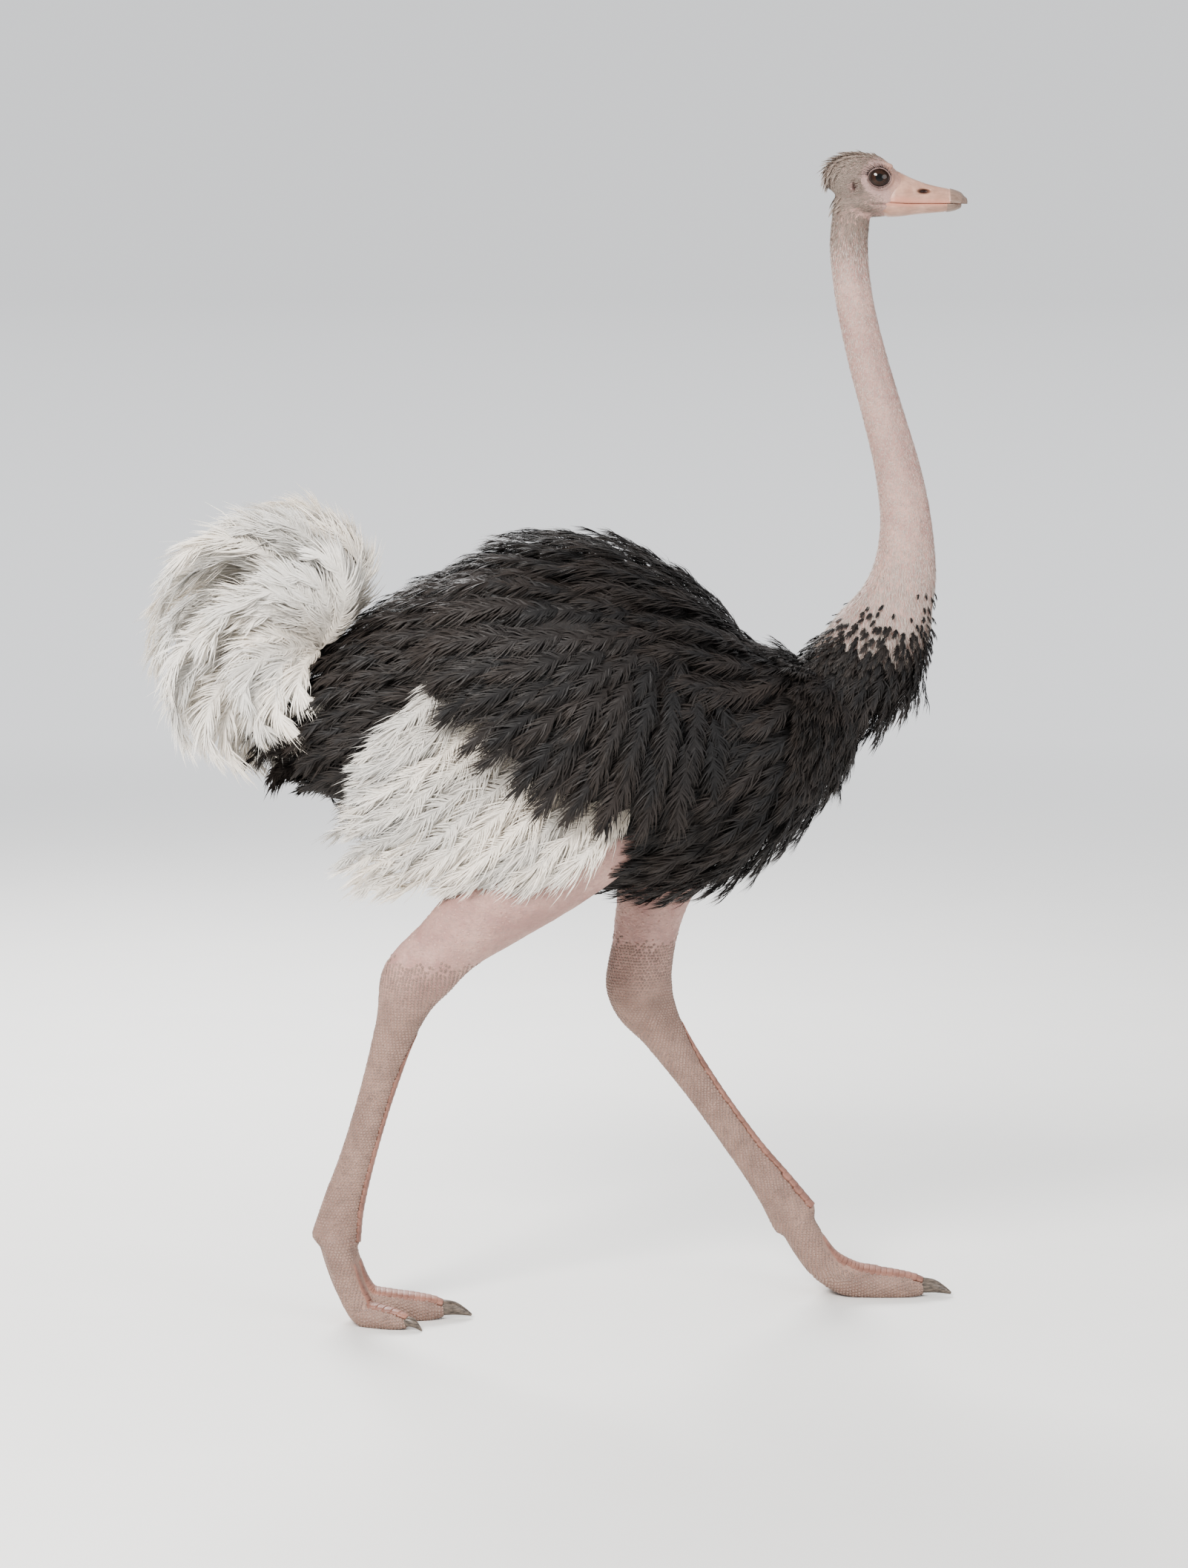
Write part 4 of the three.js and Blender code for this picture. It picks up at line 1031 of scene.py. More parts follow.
# roots in staggered rows over the trunk's skin, with the skin's outward direction
def trunkRoots(rowGap, sideGap):
    line, dense = denseRows(trunkFlesh, 400), np.linspace(0, 1, 400)
    rims = line[:, 2] + line[:, 3], line[:, 2] - line[:, 4]
    steep = np.maximum(*[np.abs(np.gradient(rim, line[:, 0])) for rim in rims]).clip(0, 2.5)
    run = np.concatenate([[0], np.cumsum(np.diff(line[:, 0]) * np.sqrt(1 + 0.7 * steep[1:] ** 2))])
    turn = np.linspace(0, 2 * np.pi, 241)
    shares, angles = [], []
    for number, spot in enumerate(np.arange(0.010, run[-1] - 0.006, rowGap)):
        share = np.interp(spot, run, dense)
        ring = trunkSkin(share + 0 * turn, turn)
        arc = np.concatenate([[0], np.cumsum(np.linalg.norm(np.diff(ring, axis=0), axis=1))])
        count = max(int(arc[-1] / sideGap), 6)
        spots = (np.arange(count) + 0.5 * (number % 2)) / count * arc[-1]
        angles.append(np.interp(spots, arc, turn))
        shares.append(np.full(count, share))
    share, angle = np.concatenate(shares), np.concatenate(angles)
    share = np.clip(share + rng.normal(0, 0.005, len(share)), 0.001, 0.999)
    angle = angle + rng.normal(0, 0.012, len(share))
    at = lambda ds, da: trunkSkin(np.clip(share + ds, 0, 1), angle + da)
    place, e = at(0, 0), 0.004
    out = unit(np.cross(at(0, e) - at(0, -e), at(e, 0) - at(-e, 0)))
    middle = alongRows(trunkFlesh, share)[:, :3]
    out *= np.sign(((place - middle) * out).sum(1, keepdims=True))
    return place, out, angle


def trunkLie(place, out):
    x = place[:, 0] - hips[0]
    fall = -0.20 - 0.95 * fade(x, 0.18, 0.52) - 0.50 * fade(-x, 0.20, 0.46)
    return tangent(np.stack([-1 + 0 * x, 0 * x, fall], 1), out)


def insideLimbs(place):
    hidden = np.zeros(len(place), bool)
    for leg in legs.values():
        _, far, _ = aroundLimb(place, legRows(leg))
        hidden |= (far < 0.95) & (leg["side"] * place[:, 1] > 0) & (place[:, 2] < 0.86)
    _, far, _ = aroundLimb(place, neckRows())
    return hidden | ((far < 0.92) & (place[:, 2] > 1.12) & (place[:, 0] > hips[0] + 0.3))


def makePlumage():
    place, out, angle = trunkRoots(plumage["rowGap"], plumage["sideGap"])
    x = place[:, 0] - hips[0]
    underWing = (wingSpread(x, place[:, 2]) < 0.62 - 0.25 * fade(x, 0, 0.14)) & (np.abs(out[:, 1]) > 0.55)
    keep = ~insideLimbs(place) & ~underWing & (x > -0.468)
    place, out, angle, x = place[keep], out[keep], angle[keep], x[keep]
    lie = trunkLie(place, out)
    bare = fade(place[:, 2], 1.00, 1.18) * fade(x, 0.40, 0.52)      # towards the neck feathers shrink
    rump = fade(-x, 0.25, 0.45)
    size = (1 - 0.55 * bare + 0.15 * rump) * rng.uniform(0.9, 1.1, len(x))
    n = len(x)
    slope = fade(out[:, 2], 0.3, 0.8) * fade(x, -0.1, 0.12)          # the shoulders lie smooth
    path, over = lyingQuills(place - out * 3 * mm, lie, out, plumage["length"] * size,
                             plumage["lift"] * (1 - 0.45 * bare + 0.12 * slope) + rng.normal(0, 0.04, n),
                             plumage["settle"] * (1 - 0.6 * bare) - 0.30 * slope + rng.normal(0, 0.05, n),
                             rng.normal(0, 0.06, n))
    width = plumage["width"] * (1 - 0.45 * bare) * rng.uniform(0.92, 1.08, n)
    tone = rng.uniform(0, 1, n)
    turn = np.arctan2(np.sin(angle), np.cos(angle))      # 0 along the back, +-pi along the belly
    zones = {"back": np.abs(turn) < 0.85, "right": (turn <= -0.85) & (turn > -2.3),
             "left": (turn >= 0.85) & (turn < 2.3), "belly": np.abs(turn) >= 2.3}
    for name, chosen in zones.items():
        lean = np.where(turn < 0, turn + 2 * np.pi, turn) if name == "belly" else turn
        root = rootMap(lean[chosen], x[chosen])
        coats = vanes(path[chosen], over[chosen], width[chosen], tone[chosen], root, bodyVane)
        coatPiece("plumage_" + name, "black_plumage", blackFeather, coats)


makePlumage()

# the wings: scalloped coverts over the flank and white flight plumes below them
covert = {"rowGap": 0.040, "sideGap": 0.043, "length": (0.078, 0.138), "width": (0.029, 0.040), "deep": 0.030}
flight = {"count": 12, "width": 0.047, "stand": 0.003, "swell": 0.020, "sag": 0.05, "under": (0.08, 0.30),
          "apart": (0.012, 0.002, -0.008), "short": (0.12, 0.02, 0.0)}       # for each layer


def wingFrame(place, side, step=0.004):      # outward direction of the wing's face
    at = lambda dx, dz: wingPoint(place[:, 0] + dx, place[:, 1] + dz, side, soft=0.78)
    return unit(np.cross(at(step, 0) - at(-step, 0), at(0, step) - at(0, -step))) * -side


def makeCoverts(side, name):
    fan = np.array(wing["fan"]) * mm
    spots, layer = [], []
    for under in (0, 1):
        for number, far in enumerate(np.arange(0.03, 0.60, covert["rowGap"]) + under * covert["rowGap"] / 2):
            count = max(int(far * 2.6 / covert["sideGap"] * (1.35 - far)), 4)
            turn = math.radians(150) + (np.arange(count) + (0.38 * number + 0.5 * under) % 1) / count * 2.6
            spots.append(fan + far * np.stack([np.cos(turn), np.sin(turn)], 1))
            layer.append(np.full(count, under))
    flat, layer = np.vstack(spots), np.concatenate(layer)
    flat = flat + rng.normal(0, 0.003, flat.shape)
    lie2 = unit(flat - fan)
    grown = fade(np.linalg.norm(flat - fan, axis=1), 0.10, 0.36)
    between = lambda key: covert[key][0] + (covert[key][1] - covert[key][0]) * grown
    length = between("length")
    tipSpread = lambda: wingSpread(*(flat + lie2 * (length + 0.6 * covert["width"][1])[:, None]).T)
    near, far, upper = wingSpread(*flat.T), tipSpread(), flat[:, 1] > 1.15
    length = length * np.where(upper & (far > 1.06), np.clip((1.06 - near) / (far - near), 0.50, 1), 1)
    keep = (tipSpread() < np.where(upper, 1.16, 1.07) - 0.05 * layer) & (near < 1.0)
    keep &= wingFrame(flat, side)[:, 1] * side > 0.40
    flat, lie2, length, grown, layer = flat[keep], lie2[keep], length[keep], grown[keep], layer[keep]
    n = len(flat)
    out = wingFrame(flat, side)
    lie = tangent(np.stack([lie2[:, 0], 0 * length, lie2[:, 1]], 1), out)
    rim, low = fade(wingSpread(*flat.T), 0.6, 0.95), fade(np.linalg.norm(flat - fan, axis=1), 0.2, 0.42)
    deep = covert["deep"] * (1 - 0.4 * rim * low) + 0.010 * rim * (1 - low) + 0.014 * layer
    place = wingPoint(flat[:, 0], flat[:, 1], side, soft=0.9) - out * deep[:, None]
    size = length * rng.uniform(0.93, 1.07, n)
    tuck = fade(wingSpread(*flat.T), 0.40, 0.80) * (0.20 + 0.40 * fade(flat[:, 0], -0.12, 0.06))
    path, over = lyingQuills(place, lie, out, size, 0.46 - 0.15 * tuck + rng.normal(0, 0.03, n),
                             0.02 - tuck + rng.normal(0, 0.04, n), rng.normal(0, 0.05, n))
    width = between("width") * rng.uniform(0.95, 1.08, n)
    coats = vanes(path, over, width, rng.uniform(0, 1, n), rootMap(flat[:, 0], flat[:, 1]), bodyVane)
    coatPiece("coverts_" + name, "black_plumage", blackFeather, coats, "wing_" + name)


# three layers of plumes, each a little over the next one behind it, turned so that its rear edge lifts
def makeFlight(side, name):
    coats = []
    for layer in (0, 1, 2):
        n = flight["count"] - layer % 2
        share = (np.arange(n) + 0.5 + 0.5 * (layer % 2)) / flight["count"]
        root, tip = (alongRows(np.array(wing[key]) * mm, share) for key in ("roots", "tips"))
        root = root + (flight["under"][0] + flight["under"][1] * share[:, None]) * (root - tip)
        tip = tip + np.array([-0.55, -0.85]) * rng.normal(0, 0.010, (n, 1)) + rng.normal(0, 0.006, (n, 2))
        t = np.linspace(0, 1, 13)[None, :, None]
        reach = rng.uniform(0.93, 1.0, (n, 1, 1)) - flight["short"][layer]
        line = root[:, None] + (tip - root)[:, None] * t * reach
        line = line + np.array([-0.30, -1.0]) * flight["sag"] * (t * (1 - t)) * 2
        t = t[..., 0]
        y = (flankAt(line[..., 0], line[..., 1]) + flight["stand"] + flight["apart"][layer]
             + flight["swell"] * np.sin(np.pi * t ** 0.8) * (1 - 0.4 * t) - 0.044 * (1 - t) ** 2)
        path = np.stack([line[..., 0] + hips[0], side * y, line[..., 1]], -1)
        over = np.zeros_like(path) + np.array([-0.42, side, -0.20]) + rng.normal(0, 0.06, (n, 1, 3))
        width = np.full(n, flight["width"]) * rng.uniform(0.92, 1.08, n)
        place = 0.04 + 0.92 * np.stack([share, (root[:, 1] - 0.9) / 0.5], 1)
        coats += vanes(path, over, width, rng.uniform(0, 1, n), place, flightVane)
    coatPiece("flight_" + name, "white_plumage", whiteFeather, coats, "wing_" + name + "_plumes")


for side, name in sides:
    makeCoverts(side, name)
    makeFlight(side, name)

# the tail: arching white plumes in a loose round fan, in three sets
tail = {"root": np.array([-446, 0, 1190]) * mm, "middle": np.array([-556, 0, 1196]) * mm,
        "count": (46, 30, 26), "reach": (0.236, 0.094), "spread": 0.100, "width": (0.050, 0.042, 0.046),
        "fan": (math.radians(74), math.radians(250)), "away": (0.55, 0.20, 1.0), "face": (0.8, 0.8, 0.25)}


# each plume is a cubic curve from the rump that starts steep and curls over backwards; the second
# set is shorter and lies on both sides of the fan's middle, the third fills it and faces back
def makeTail():
    coats = []
    for inner in (0, 1, 2):
        n = tail["count"][inner]
        number = np.arange(n)
        share = (number + 0.5) / n
        angle = tail["fan"][0] + (tail["fan"][1] - tail["fan"][0]) * share + rng.normal(0, 0.03, n)
        reach = tail["reach"][0] + tail["reach"][1] * np.sin(share * np.pi)
        reach = reach * np.where(number % 3 == 2, 0.72, 1) * rng.uniform(0.92, 1.04, n)
        reach = reach - 0.6 * tail["width"][0]
        aside = tail["spread"] * np.sin(number * 2.4) * (0.45 + 0.55 * np.sin(share * np.pi))
        near, root = 0.02, 0.12
        if inner == 2:
            aside = 0.062 * np.sin(number * 2.4 + 1)
            reach = reach * rng.uniform(0.80, 0.96, n)
        if inner == 1:
            reach = reach * rng.uniform(0.50, 0.74, n)
            aside = np.where(number % 2 == 0, 1, -1) * (0.088 + rng.normal(0, 0.008, n))
            near, root = 0.0, 0.42
        along = lambda turn, far, y: (tail["root"] + hips + np.stack(
            [far * np.cos(turn), y, far * np.sin(turn)], -1))[:, None]
        a = along(angle, near, aside * root)
        b = along(angle - 0.62, reach * 0.50, aside * (1.0 if inner == 1 else 0.55))
        c = along(angle - 0.22, reach * 1.02, aside * (1.05 if inner == 1 else 0.95))
        d = along(angle + 0.20, reach, aside * 1.05)
        t = np.linspace(0, 1, 12)[None, :, None]
        path = a * (1 - t) ** 3 + 3 * b * (1 - t) ** 2 * t + 3 * c * (1 - t) * t ** 2 + d * t ** 3
        away = unit((path - tail["middle"] - hips) * np.array([1, 0, 1]))
        face = tail["face"][inner] * np.where(aside > 0, 1, -1)
        over = away * tail["away"][inner] + np.array([0, 1, 0]) * face[:, None, None]
        width = tail["width"][inner] * rng.uniform(0.88, 1.08, n)
        place = 0.04 + 0.92 * np.stack([share, 0.5 + 0.5 * aside / (1.1 * tail["spread"])], 1)
        coats += vanes(path, over, width, rng.uniform(0, 1, n), place, plumeVane)
    coatPiece("tail_plumes", "white_plumage", whiteFeather, coats, "tail")


makeTail()


# one skin point per cell of a staggered grid in u, v (metres along the skin), the nearest to its middle
def pickPoints(u, v, gap, where, rowGap=1.0):
    chosen = np.flatnonzero(where)
    v = v / rowGap
    row = np.floor(v[chosen] / gap)
    spot = u[chosen] / gap - 0.5 * (row % 2)
    column = np.floor(spot)
    off = (spot - column - 0.5) ** 2 + (v[chosen] / gap - row - 0.5) ** 2
    order = np.lexsort((off, column, row))
    cell = np.stack([row, column], 1)[order]
    first = np.concatenate([[True], np.any(np.diff(cell, axis=0) != 0, axis=1)])
    return chosen[order[first]]


# from each point's u, v to the middle of its cell
def toCell(u, v, gap, rowGap=1.0):
    row = np.floor(v / gap / rowGap)
    odd = 0.5 * (row % 2)
    return (np.floor(u / gap - odd) + 0.5 + odd) * gap - u, (row + 0.5) * gap * rowGap - v


skinNormals = pointNormals(skinPoints, skinQuads)
skinHigh, onHead = skinPoints[:, 2], headPlace(skinPoints)
neckTurn, _, neckAside = aroundLimb(skinPoints, neckRows())
neckRound = neckTurn * np.linalg.norm(neckAside, axis=1)
onNeck = (skinPoints[:, 0] > hips[0] + 0.38) & (skinHigh > 1.0)
fromHead = skinPoints - inHead([240, 0, 190])
headTurn = np.arctan2(fromHead[:, 1], -fromHead[:, 0])
headRise = np.arctan2(fromHead[:, 2], np.hypot(*fromHead[:, :2].T))
earFar = np.hypot(onHead[:, 0] - head["ear"][0], onHead[:, 2] - head["ear"][2])
earFar[np.abs(onHead[:, 1]) < 60] = 999
diagonals = skinPoints[skinQuads[:, 2:]] - skinPoints[skinQuads[:, :2]]
quadArea = 0.5 * np.linalg.norm(np.cross(diagonals[:, 0], diagonals[:, 1]), axis=1)
skinArea = np.bincount(skinQuads.ravel(), np.repeat(quadArea / 4, 4), len(skinPoints))


def sprinkle(count, weight):     # random skin points, as many to the area everywhere the weight is 1
    share = skinArea * weight
    return rng.choice(len(skinPoints), count, p=share / share.sum())


# small dark feathers climb from the breast onto the foot of the neck and shrink away there
def makeCollar():
    z = skinHigh
    top = 1.205 + 0.02 * np.cos(neckTurn)
    for piece, low, high, gap, length, width in (("collar_lower", 1.00, 1.16, 0.017, 0.066, 0.024),
                                                 ("collar_upper", 1.11, 1.40, 0.0105, 0.036, 0.013)):
        ragged = top + 0.11 * rng.uniform(0, 1, len(z)) ** 2.6 - 0.012      # fewer and fewer higher up
        chosen = pickPoints(neckRound, z, gap, onNeck & (z > low) & (z < high))
        chosen = chosen[z[chosen] < ragged[chosen]]
        place, out = skinPoints[chosen], skinNormals[chosen]
        n = len(chosen)
        shrink = (1 - 0.60 * fade(place[:, 2], 1.13, 1.27)) * rng.uniform(0.8, 1.15, n)
        lie = tangent(np.array([-0.55, 0, -1.0]) + rng.normal(0, 0.08, (n, 3)), out)
        path, over = lyingQuills(place - out * 2 * mm, lie, out, length * shrink * rng.uniform(0.85, 1.15, n),
                                 0.80 + rng.normal(0, 0.08, n), 0.42 + rng.normal(0, 0.06, n),
                                 rng.normal(0, 0.06, n), 5)
        root = rootMap(neckTurn[chosen], place[:, 2])
        coats = vanes(path, over, width * shrink, rng.uniform(0, 1, n), root, smallVane)
        coatPiece(piece, "black_plumage", blackFeather, coats)


downLook = {"neck": 34000, "head": 26000, "half": 0.32 * mm, "lock": 0.62 * mm, "bristle": 0.42 * mm}


# one ribbon to a hair: half its width at the root, thin its loss towards the tip
def hairs(path, flat, half, thin, root, wide):
    n, k = path.shape[:2]
    s = np.linspace(0, 1, k)[None]
    return ribbons(path, flat[:, None] + 0 * path, half * (1 - thin * s) + np.zeros((n, 1)),
                   np.stack([0 * s, s], -1) + np.zeros((n, 1, 1)), root, wide,
                   {"along": s, "edge": s, "tone": rng.uniform(0, 1, n)[:, None]})


# one hair of down: a ribbon that leaves the skin at a slant and bends back along its lie
def makeDown(name, chosen, lie, length, lift, material, root):
    out = skinNormals[chosen]
    n = len(chosen)
    lie = tangent(lie + rng.normal(0, 0.22, (n, 3)), out)
    stray = np.sqrt(skinArea[chosen]) * np.sqrt(rng.uniform(0, 0.6, n))
    place = skinPoints[chosen] + tangent(rng.normal(0, 1, (n, 3)), out) * stray[:, None]
    bend = rng.normal(0, 0.08, n)
    path, _ = lyingQuills(place - out * 0.6 * mm, lie, out, length, lift, lift * 0.25, bend, 3)
    flat = unit(np.cross(lie, out) + out * rng.normal(0, 0.5, (n, 1)))
    coatPiece(name, "neck_skin", material, [hairs(path, flat, downLook["half"], 0.5, root, 0.25)])


# locks of hairs that start together and close to a point
def makeTufts(name, chosen, lie, length, lift, strands, material, root):
    out = skinNormals[chosen]
    lie = tangent(lie, out)
    each = lambda a: np.repeat(a, strands, 0)
    n = len(chosen) * strands
    start = tangent(rng.normal(0, 1, (n, 3)), each(out)) * (rng.uniform(0.3, 1, n) * 3.0 * mm)[:, None]
    path, _ = lyingQuills(each(skinPoints[chosen] - out * mm), each(lie), each(out),
                          each(length) * rng.uniform(0.55, 1.05, n), each(lift), each(lift) * 0.35,
                          rng.normal(0, 0.05, n), 5)
    s = np.linspace(0, 1, 5)[None]
    path = path + start[:, None] * ((1 - s) ** 0.7 + 0.12)[..., None]
    flat = unit(np.cross(each(lie), each(out)) + each(out) * rng.normal(0, 0.7, (n, 1)))
    coatPiece(name, "neck_skin", material, [hairs(path, flat, downLook["lock"], 0.55, each(root), 0.2)])


pale = featherMaterial("paleDown", (0.36, 0.29, 0.26), (0.56, 0.50, 0.45), (0.74, 0.70, 0.65),
                       (0.42, 0.33, 0.28), 0.6, 0.1)
dusky = featherMaterial("duskyDown", (0.16, 0.12, 0.10), (0.27, 0.215, 0.18), (0.42, 0.36, 0.31),
                        (0.20, 0.14, 0.11), 0.6, 0.1)


def makeNeckDown():
    weight = onNeck * fade(skinHigh, 1.14, 1.22) * (1 - fade(skinHigh, 1.84, 1.94))
    chosen = sprinkle(downLook["neck"], weight)
    n, z = len(chosen), skinHigh[chosen]
    length = 0.006 + 0.010 * (1 - fade(z, 1.20, 1.42)) + 0.003 * fade(z, 1.75, 1.92)
    makeDown("neck_down", chosen, np.array([0, 0, -1.0]), length * rng.uniform(0.7, 1.3, n),
             0.32 + rng.normal(0, 0.08, n), pale, rootMap(neckTurn[chosen], z))


def makeHeadDown():          # it stays clear of the bill, the eyes and the ears
    folded = np.where([False, True, False], np.abs(skinPoints), skinPoints)      # both sides on the left
    eyeFar = np.linalg.norm(folded - inHead(head["eye"]), axis=1)
    free = (skinHigh > 1.83) & (onHead[:, 0] < 475 - 60 * fade(-onHead[:, 2], -150, -60)) & (eyeFar > 0.031)
    chosen = sprinkle(downLook["head"], free * (earFar > 42) * fade(skinHigh, 1.84, 1.94))
    n, at = len(chosen), onHead[chosen]
    behind = np.maximum(fade(-at[:, 0], -170, -20), fade(-at[:, 2], 20, 110))
    lie = np.stack([-1 + 0.9 * behind, 0 * behind, -0.25 - 0.9 * behind], 1)
    length = (0.0085 - 0.005 * fade(at[:, 0], 250, 450)) * rng.uniform(0.7, 1.3, n)
    makeDown("head_down", chosen, lie, length, 0.30 + rng.normal(0, 0.08, n), dusky,
             rootMap(headTurn[chosen], headRise[chosen]))


def makeCrest():             # from the forehead over the crown and down the nape
    half, gap = 0.030, 0.0085
    facingBack = fade(skinNormals[:, 2] - skinNormals[:, 0], 0.35, 0.8)
    where = (skinHigh > 1.90) & (onHead[:, 0] < 420) & (np.abs(skinPoints[:, 1]) < half) & (facingBack > 0.5)
    arc = np.arctan2(fromHead[:, 2], -fromHead[:, 0]) * 0.055
    chosen = pickPoints(arc + 0.5, skinPoints[:, 1] + 0.5, gap, where & (fromHead[:, 2] > -0.055))
    n, at = len(chosen), onHead[chosen]
    along, behind = fade(at[:, 0], 60, 420), fade(-at[:, 0], -190, -40)
    lie = np.stack([-1 + 0.75 * behind, 0 * behind, -0.05 - 0.95 * behind], 1)
    middle = 1 - 0.5 * (np.abs(skinPoints[chosen, 1]) / half) ** 2
    length = (0.026 - 0.014 * along) * middle * rng.uniform(0.75, 1.2, n)
    lift = (0.62 - 0.15 * along) * rng.uniform(0.75, 1.2, n)
    makeTufts("crest", chosen, lie, length, lift, 12, dusky, rootMap(headTurn[chosen], headRise[chosen]))


def makeEarBristles(side, name):
    ring = (earFar > 24) & (earFar < 50) & (side * skinPoints[:, 1] > 0) & (skinHigh > 1.9)
    chosen = pickPoints(onHead[:, 0] * head["unit"] + 1, onHead[:, 2] * head["unit"] + 1, 0.0024, ring)
    n, at, out = len(chosen), onHead[chosen], skinNormals[chosen]
    length = (0.007 + 0.006 * fade(at[:, 0], 170, 250)) * rng.uniform(0.8, 1.2, n)
    lie = tangent(np.array([-1, 0, -0.25]) + rng.normal(0, 0.10, (n, 3)), out)
    path, _ = lyingQuills(skinPoints[chosen] - out * 0.5 * mm, lie, out, length,
                          0.75 + rng.normal(0, 0.1, n), 0.25 + 0 * length, rng.normal(0, 0.05, n), 4)
    bristle = hairs(path, np.cross(lie, out), downLook["bristle"], 0.5, rootMap(at[:, 0], at[:, 2]), 0.2)
    coatPiece("ear_bristles_" + name, "neck_skin", dusky, [bristle], "ear_" + name)


makeCollar()
makeNeckDown()
makeHeadDown()
makeCrest()
for side, name in sides:
    makeEarBristles(side, name)


# the scales of the legs and toes
scaleLook = {"shields": 27, "toeShields": (21, 12), "half": (0.66, 0.95), "start": (0.16, 0.55),
             "legReach": (0.60, 0.99), "toeReach": (0.16, 0.97),
             "thick": 1.6 * mm, "under": -1.4 * mm, "pebble": 0.0062, "follicle": 0.016, "rowShare": 0.87}


# closed pads: a raised grid and a flat one under it that share their rim, (n, a, b, 3) each
def padGrid(top, under):
    n, a, b = top.shape[:3]
    upper = np.arange(a * b).reshape(a, b)
    lower = upper.copy()
    lower[1:-1, 1:-1] = a * b + np.arange((a - 2) * (b - 2)).reshape(a - 2, b - 2)
    each = a * b + (a - 2) * (b - 2)
    faces = lambda g: np.stack([g[:-1, :-1], g[:-1, 1:], g[1:, 1:], g[1:, :-1]], -1).reshape(-1, 4)
    local = np.vstack([faces(upper), faces(lower)[:, ::-1]])
    points = np.concatenate([top.reshape(n, -1, 3), under[:, 1:-1, 1:-1].reshape(n, -1, 3)], 1)
    return points.reshape(-1, 3), (np.arange(n)[:, None, None] * each + local).reshape(-1, 4)


# shingled shields along the front of a limb: each rises towards its lower edge and drops there; the
# first are narrower and lower, start + (1 - start) * fade(number)
def shields(rows, first, last, count, half, squareness, start):
    dense = np.linspace(0, 1, 400)
    step = np.linalg.norm(np.diff(denseRows(rows, 400)[:, :3], axis=0), axis=1)
    arc = np.concatenate([[0], np.cumsum(step)])
    edge = np.interp(np.linspace(*np.interp([first, last], dense, arc), count + 1), arc, dense)
    middle, pitch = (edge[1:] + edge[:-1]) / 2, np.diff(edge)[:, None, None]
    u, v = np.linspace(-1, 1, 9), np.array([-1, -0.5, 0.3, 0.82, 0.94, 1.0])[:, None]
    share = np.clip(middle[:, None, None] + v * pitch * 0.78 * (1 - 0.16 * u ** 2) + 0 * u, 0, 1)
    grow = start + (1 - start) * fade(np.arange(count), -1.5, 6)[:, None, None]
    angle = grow * half * u * (1 - 0.10 * v ** 2) * (1 + rng.normal(0, 0.05, (count, 1, 1))) + 0 * share
    cover = (1 - np.abs(u) ** 7) * (v < 0.99) * (v > -0.99)
    high = grow * scaleLook["thick"] * (0.25 + 0.75 * (v + 1) / 2) * cover + scaleLook["under"] * (1 - cover)
    flat = (share.shape[0] * share.shape[1], share.shape[2])
    at = lambda out: sectionPoint(rows, share.reshape(flat), angle.reshape(flat), out, False,
                                  squareness).reshape(share.shape + (3,))
    points, quads = padGrid(at((high + 0 * share).reshape(flat)), at(scaleLook["under"]))
    return points, [quads[:, ::-1]]


def scaleMaterial(name, dark, light, worn):
    f = Finish(name)
    cloud, grain = f.noise(40, 4), f.noise(420)
    colour = f.mix(f.ramp(grain, 0.45, 0.75, 0, 0.55), f.mix(f.ramp(cloud, 0.36, 0.64), dark, light), worn)
    return f.done(colour, f.ramp(grain, 0.3, 0.7, 0.40, 0.58), (grain, 0.4, 0.0008))


# round scales between the shields: hexagonal domes, one per cell of a staggered grid on the skin
def pebbles(place, out, size):
    n = len(place)
    first = tangent(np.array([0.3, 0.2, 1.0]) + rng.normal(0, 0.3, (n, 3)), out)
    second = np.cross(out, first)
    turn = np.arange(6) * np.pi / 3
    reach = size * rng.uniform(0.40, 0.54, (n, 6))
    spoke = (first[:, None] * (np.cos(turn) * reach)[..., None]
             + second[:, None] * (np.sin(turn) * reach)[..., None])
    at = lambda up: (place + out * up * mm)[:, None]
    points = np.concatenate([at(-0.5) + spoke, at(0.75) + spoke * 0.72, at(1.05), at(-0.8)], 1)
    base = (np.arange(n) * 14)[:, None, None]
    i = np.arange(6)
    k = (i + 1) % 6
    quads = (base + np.stack([i, k, k + 6, i + 6], -1)).reshape(-1, 4)
    tris = (base + np.vstack([np.stack([i + 6, k + 6, 12 + 0 * i], -1),
                              np.stack([k, i, 13 + 0 * i], -1)])).reshape(-1, 3)
    return points.reshape(-1, 3), [quads, tris]


# the skin below a height with the middles of its faces and edges added: places and directions
def denseSkin(high):
    quads = skinQuads[(skinPoints[skinQuads, 2] < high).all(1)]
    corners = np.stack([skinPoints[quads], skinNormals[quads]])
    middles = (corners + np.roll(corners, 1, 2)) / 2
    both = np.concatenate([corners.reshape(2, -1, 3), middles.reshape(2, -1, 3), corners.mean(2)], 1)
    return both[0], unit(both[1])


shieldHorn = scaleMaterial("legShield", (0.20, 0.095, 0.070), (0.32, 0.16, 0.118), (0.15, 0.095, 0.078))
pebbleSkin = scaleMaterial("legPebble", (0.21, 0.14, 0.115), (0.31, 0.21, 0.172), (0.16, 0.12, 0.105))
thighSkin = scaleMaterial("thighFollicle", (0.36, 0.215, 0.185), (0.47, 0.30, 0.255), (0.30, 0.18, 0.155))


def makeShields(name, leg):
    (legHalf, toeHalf), (legStart, toeStart) = scaleLook["half"], scaleLook["start"]
    count, reach = scaleLook["shields"], scaleLook["legReach"]
    parts = [shields(legRows(leg), *reach, count, legHalf, legLook["squareness"], legStart)]
    reach = scaleLook["toeReach"]
    for toe, count in zip(bothToes(leg), scaleLook["toeShields"]):
        parts.append(shields(toe, *reach, count, toeHalf, legLook["toeSquareness"], toeStart))
    settle(makePiece("shields_" + name, *joined(parts), shieldHorn), "leg_scales")


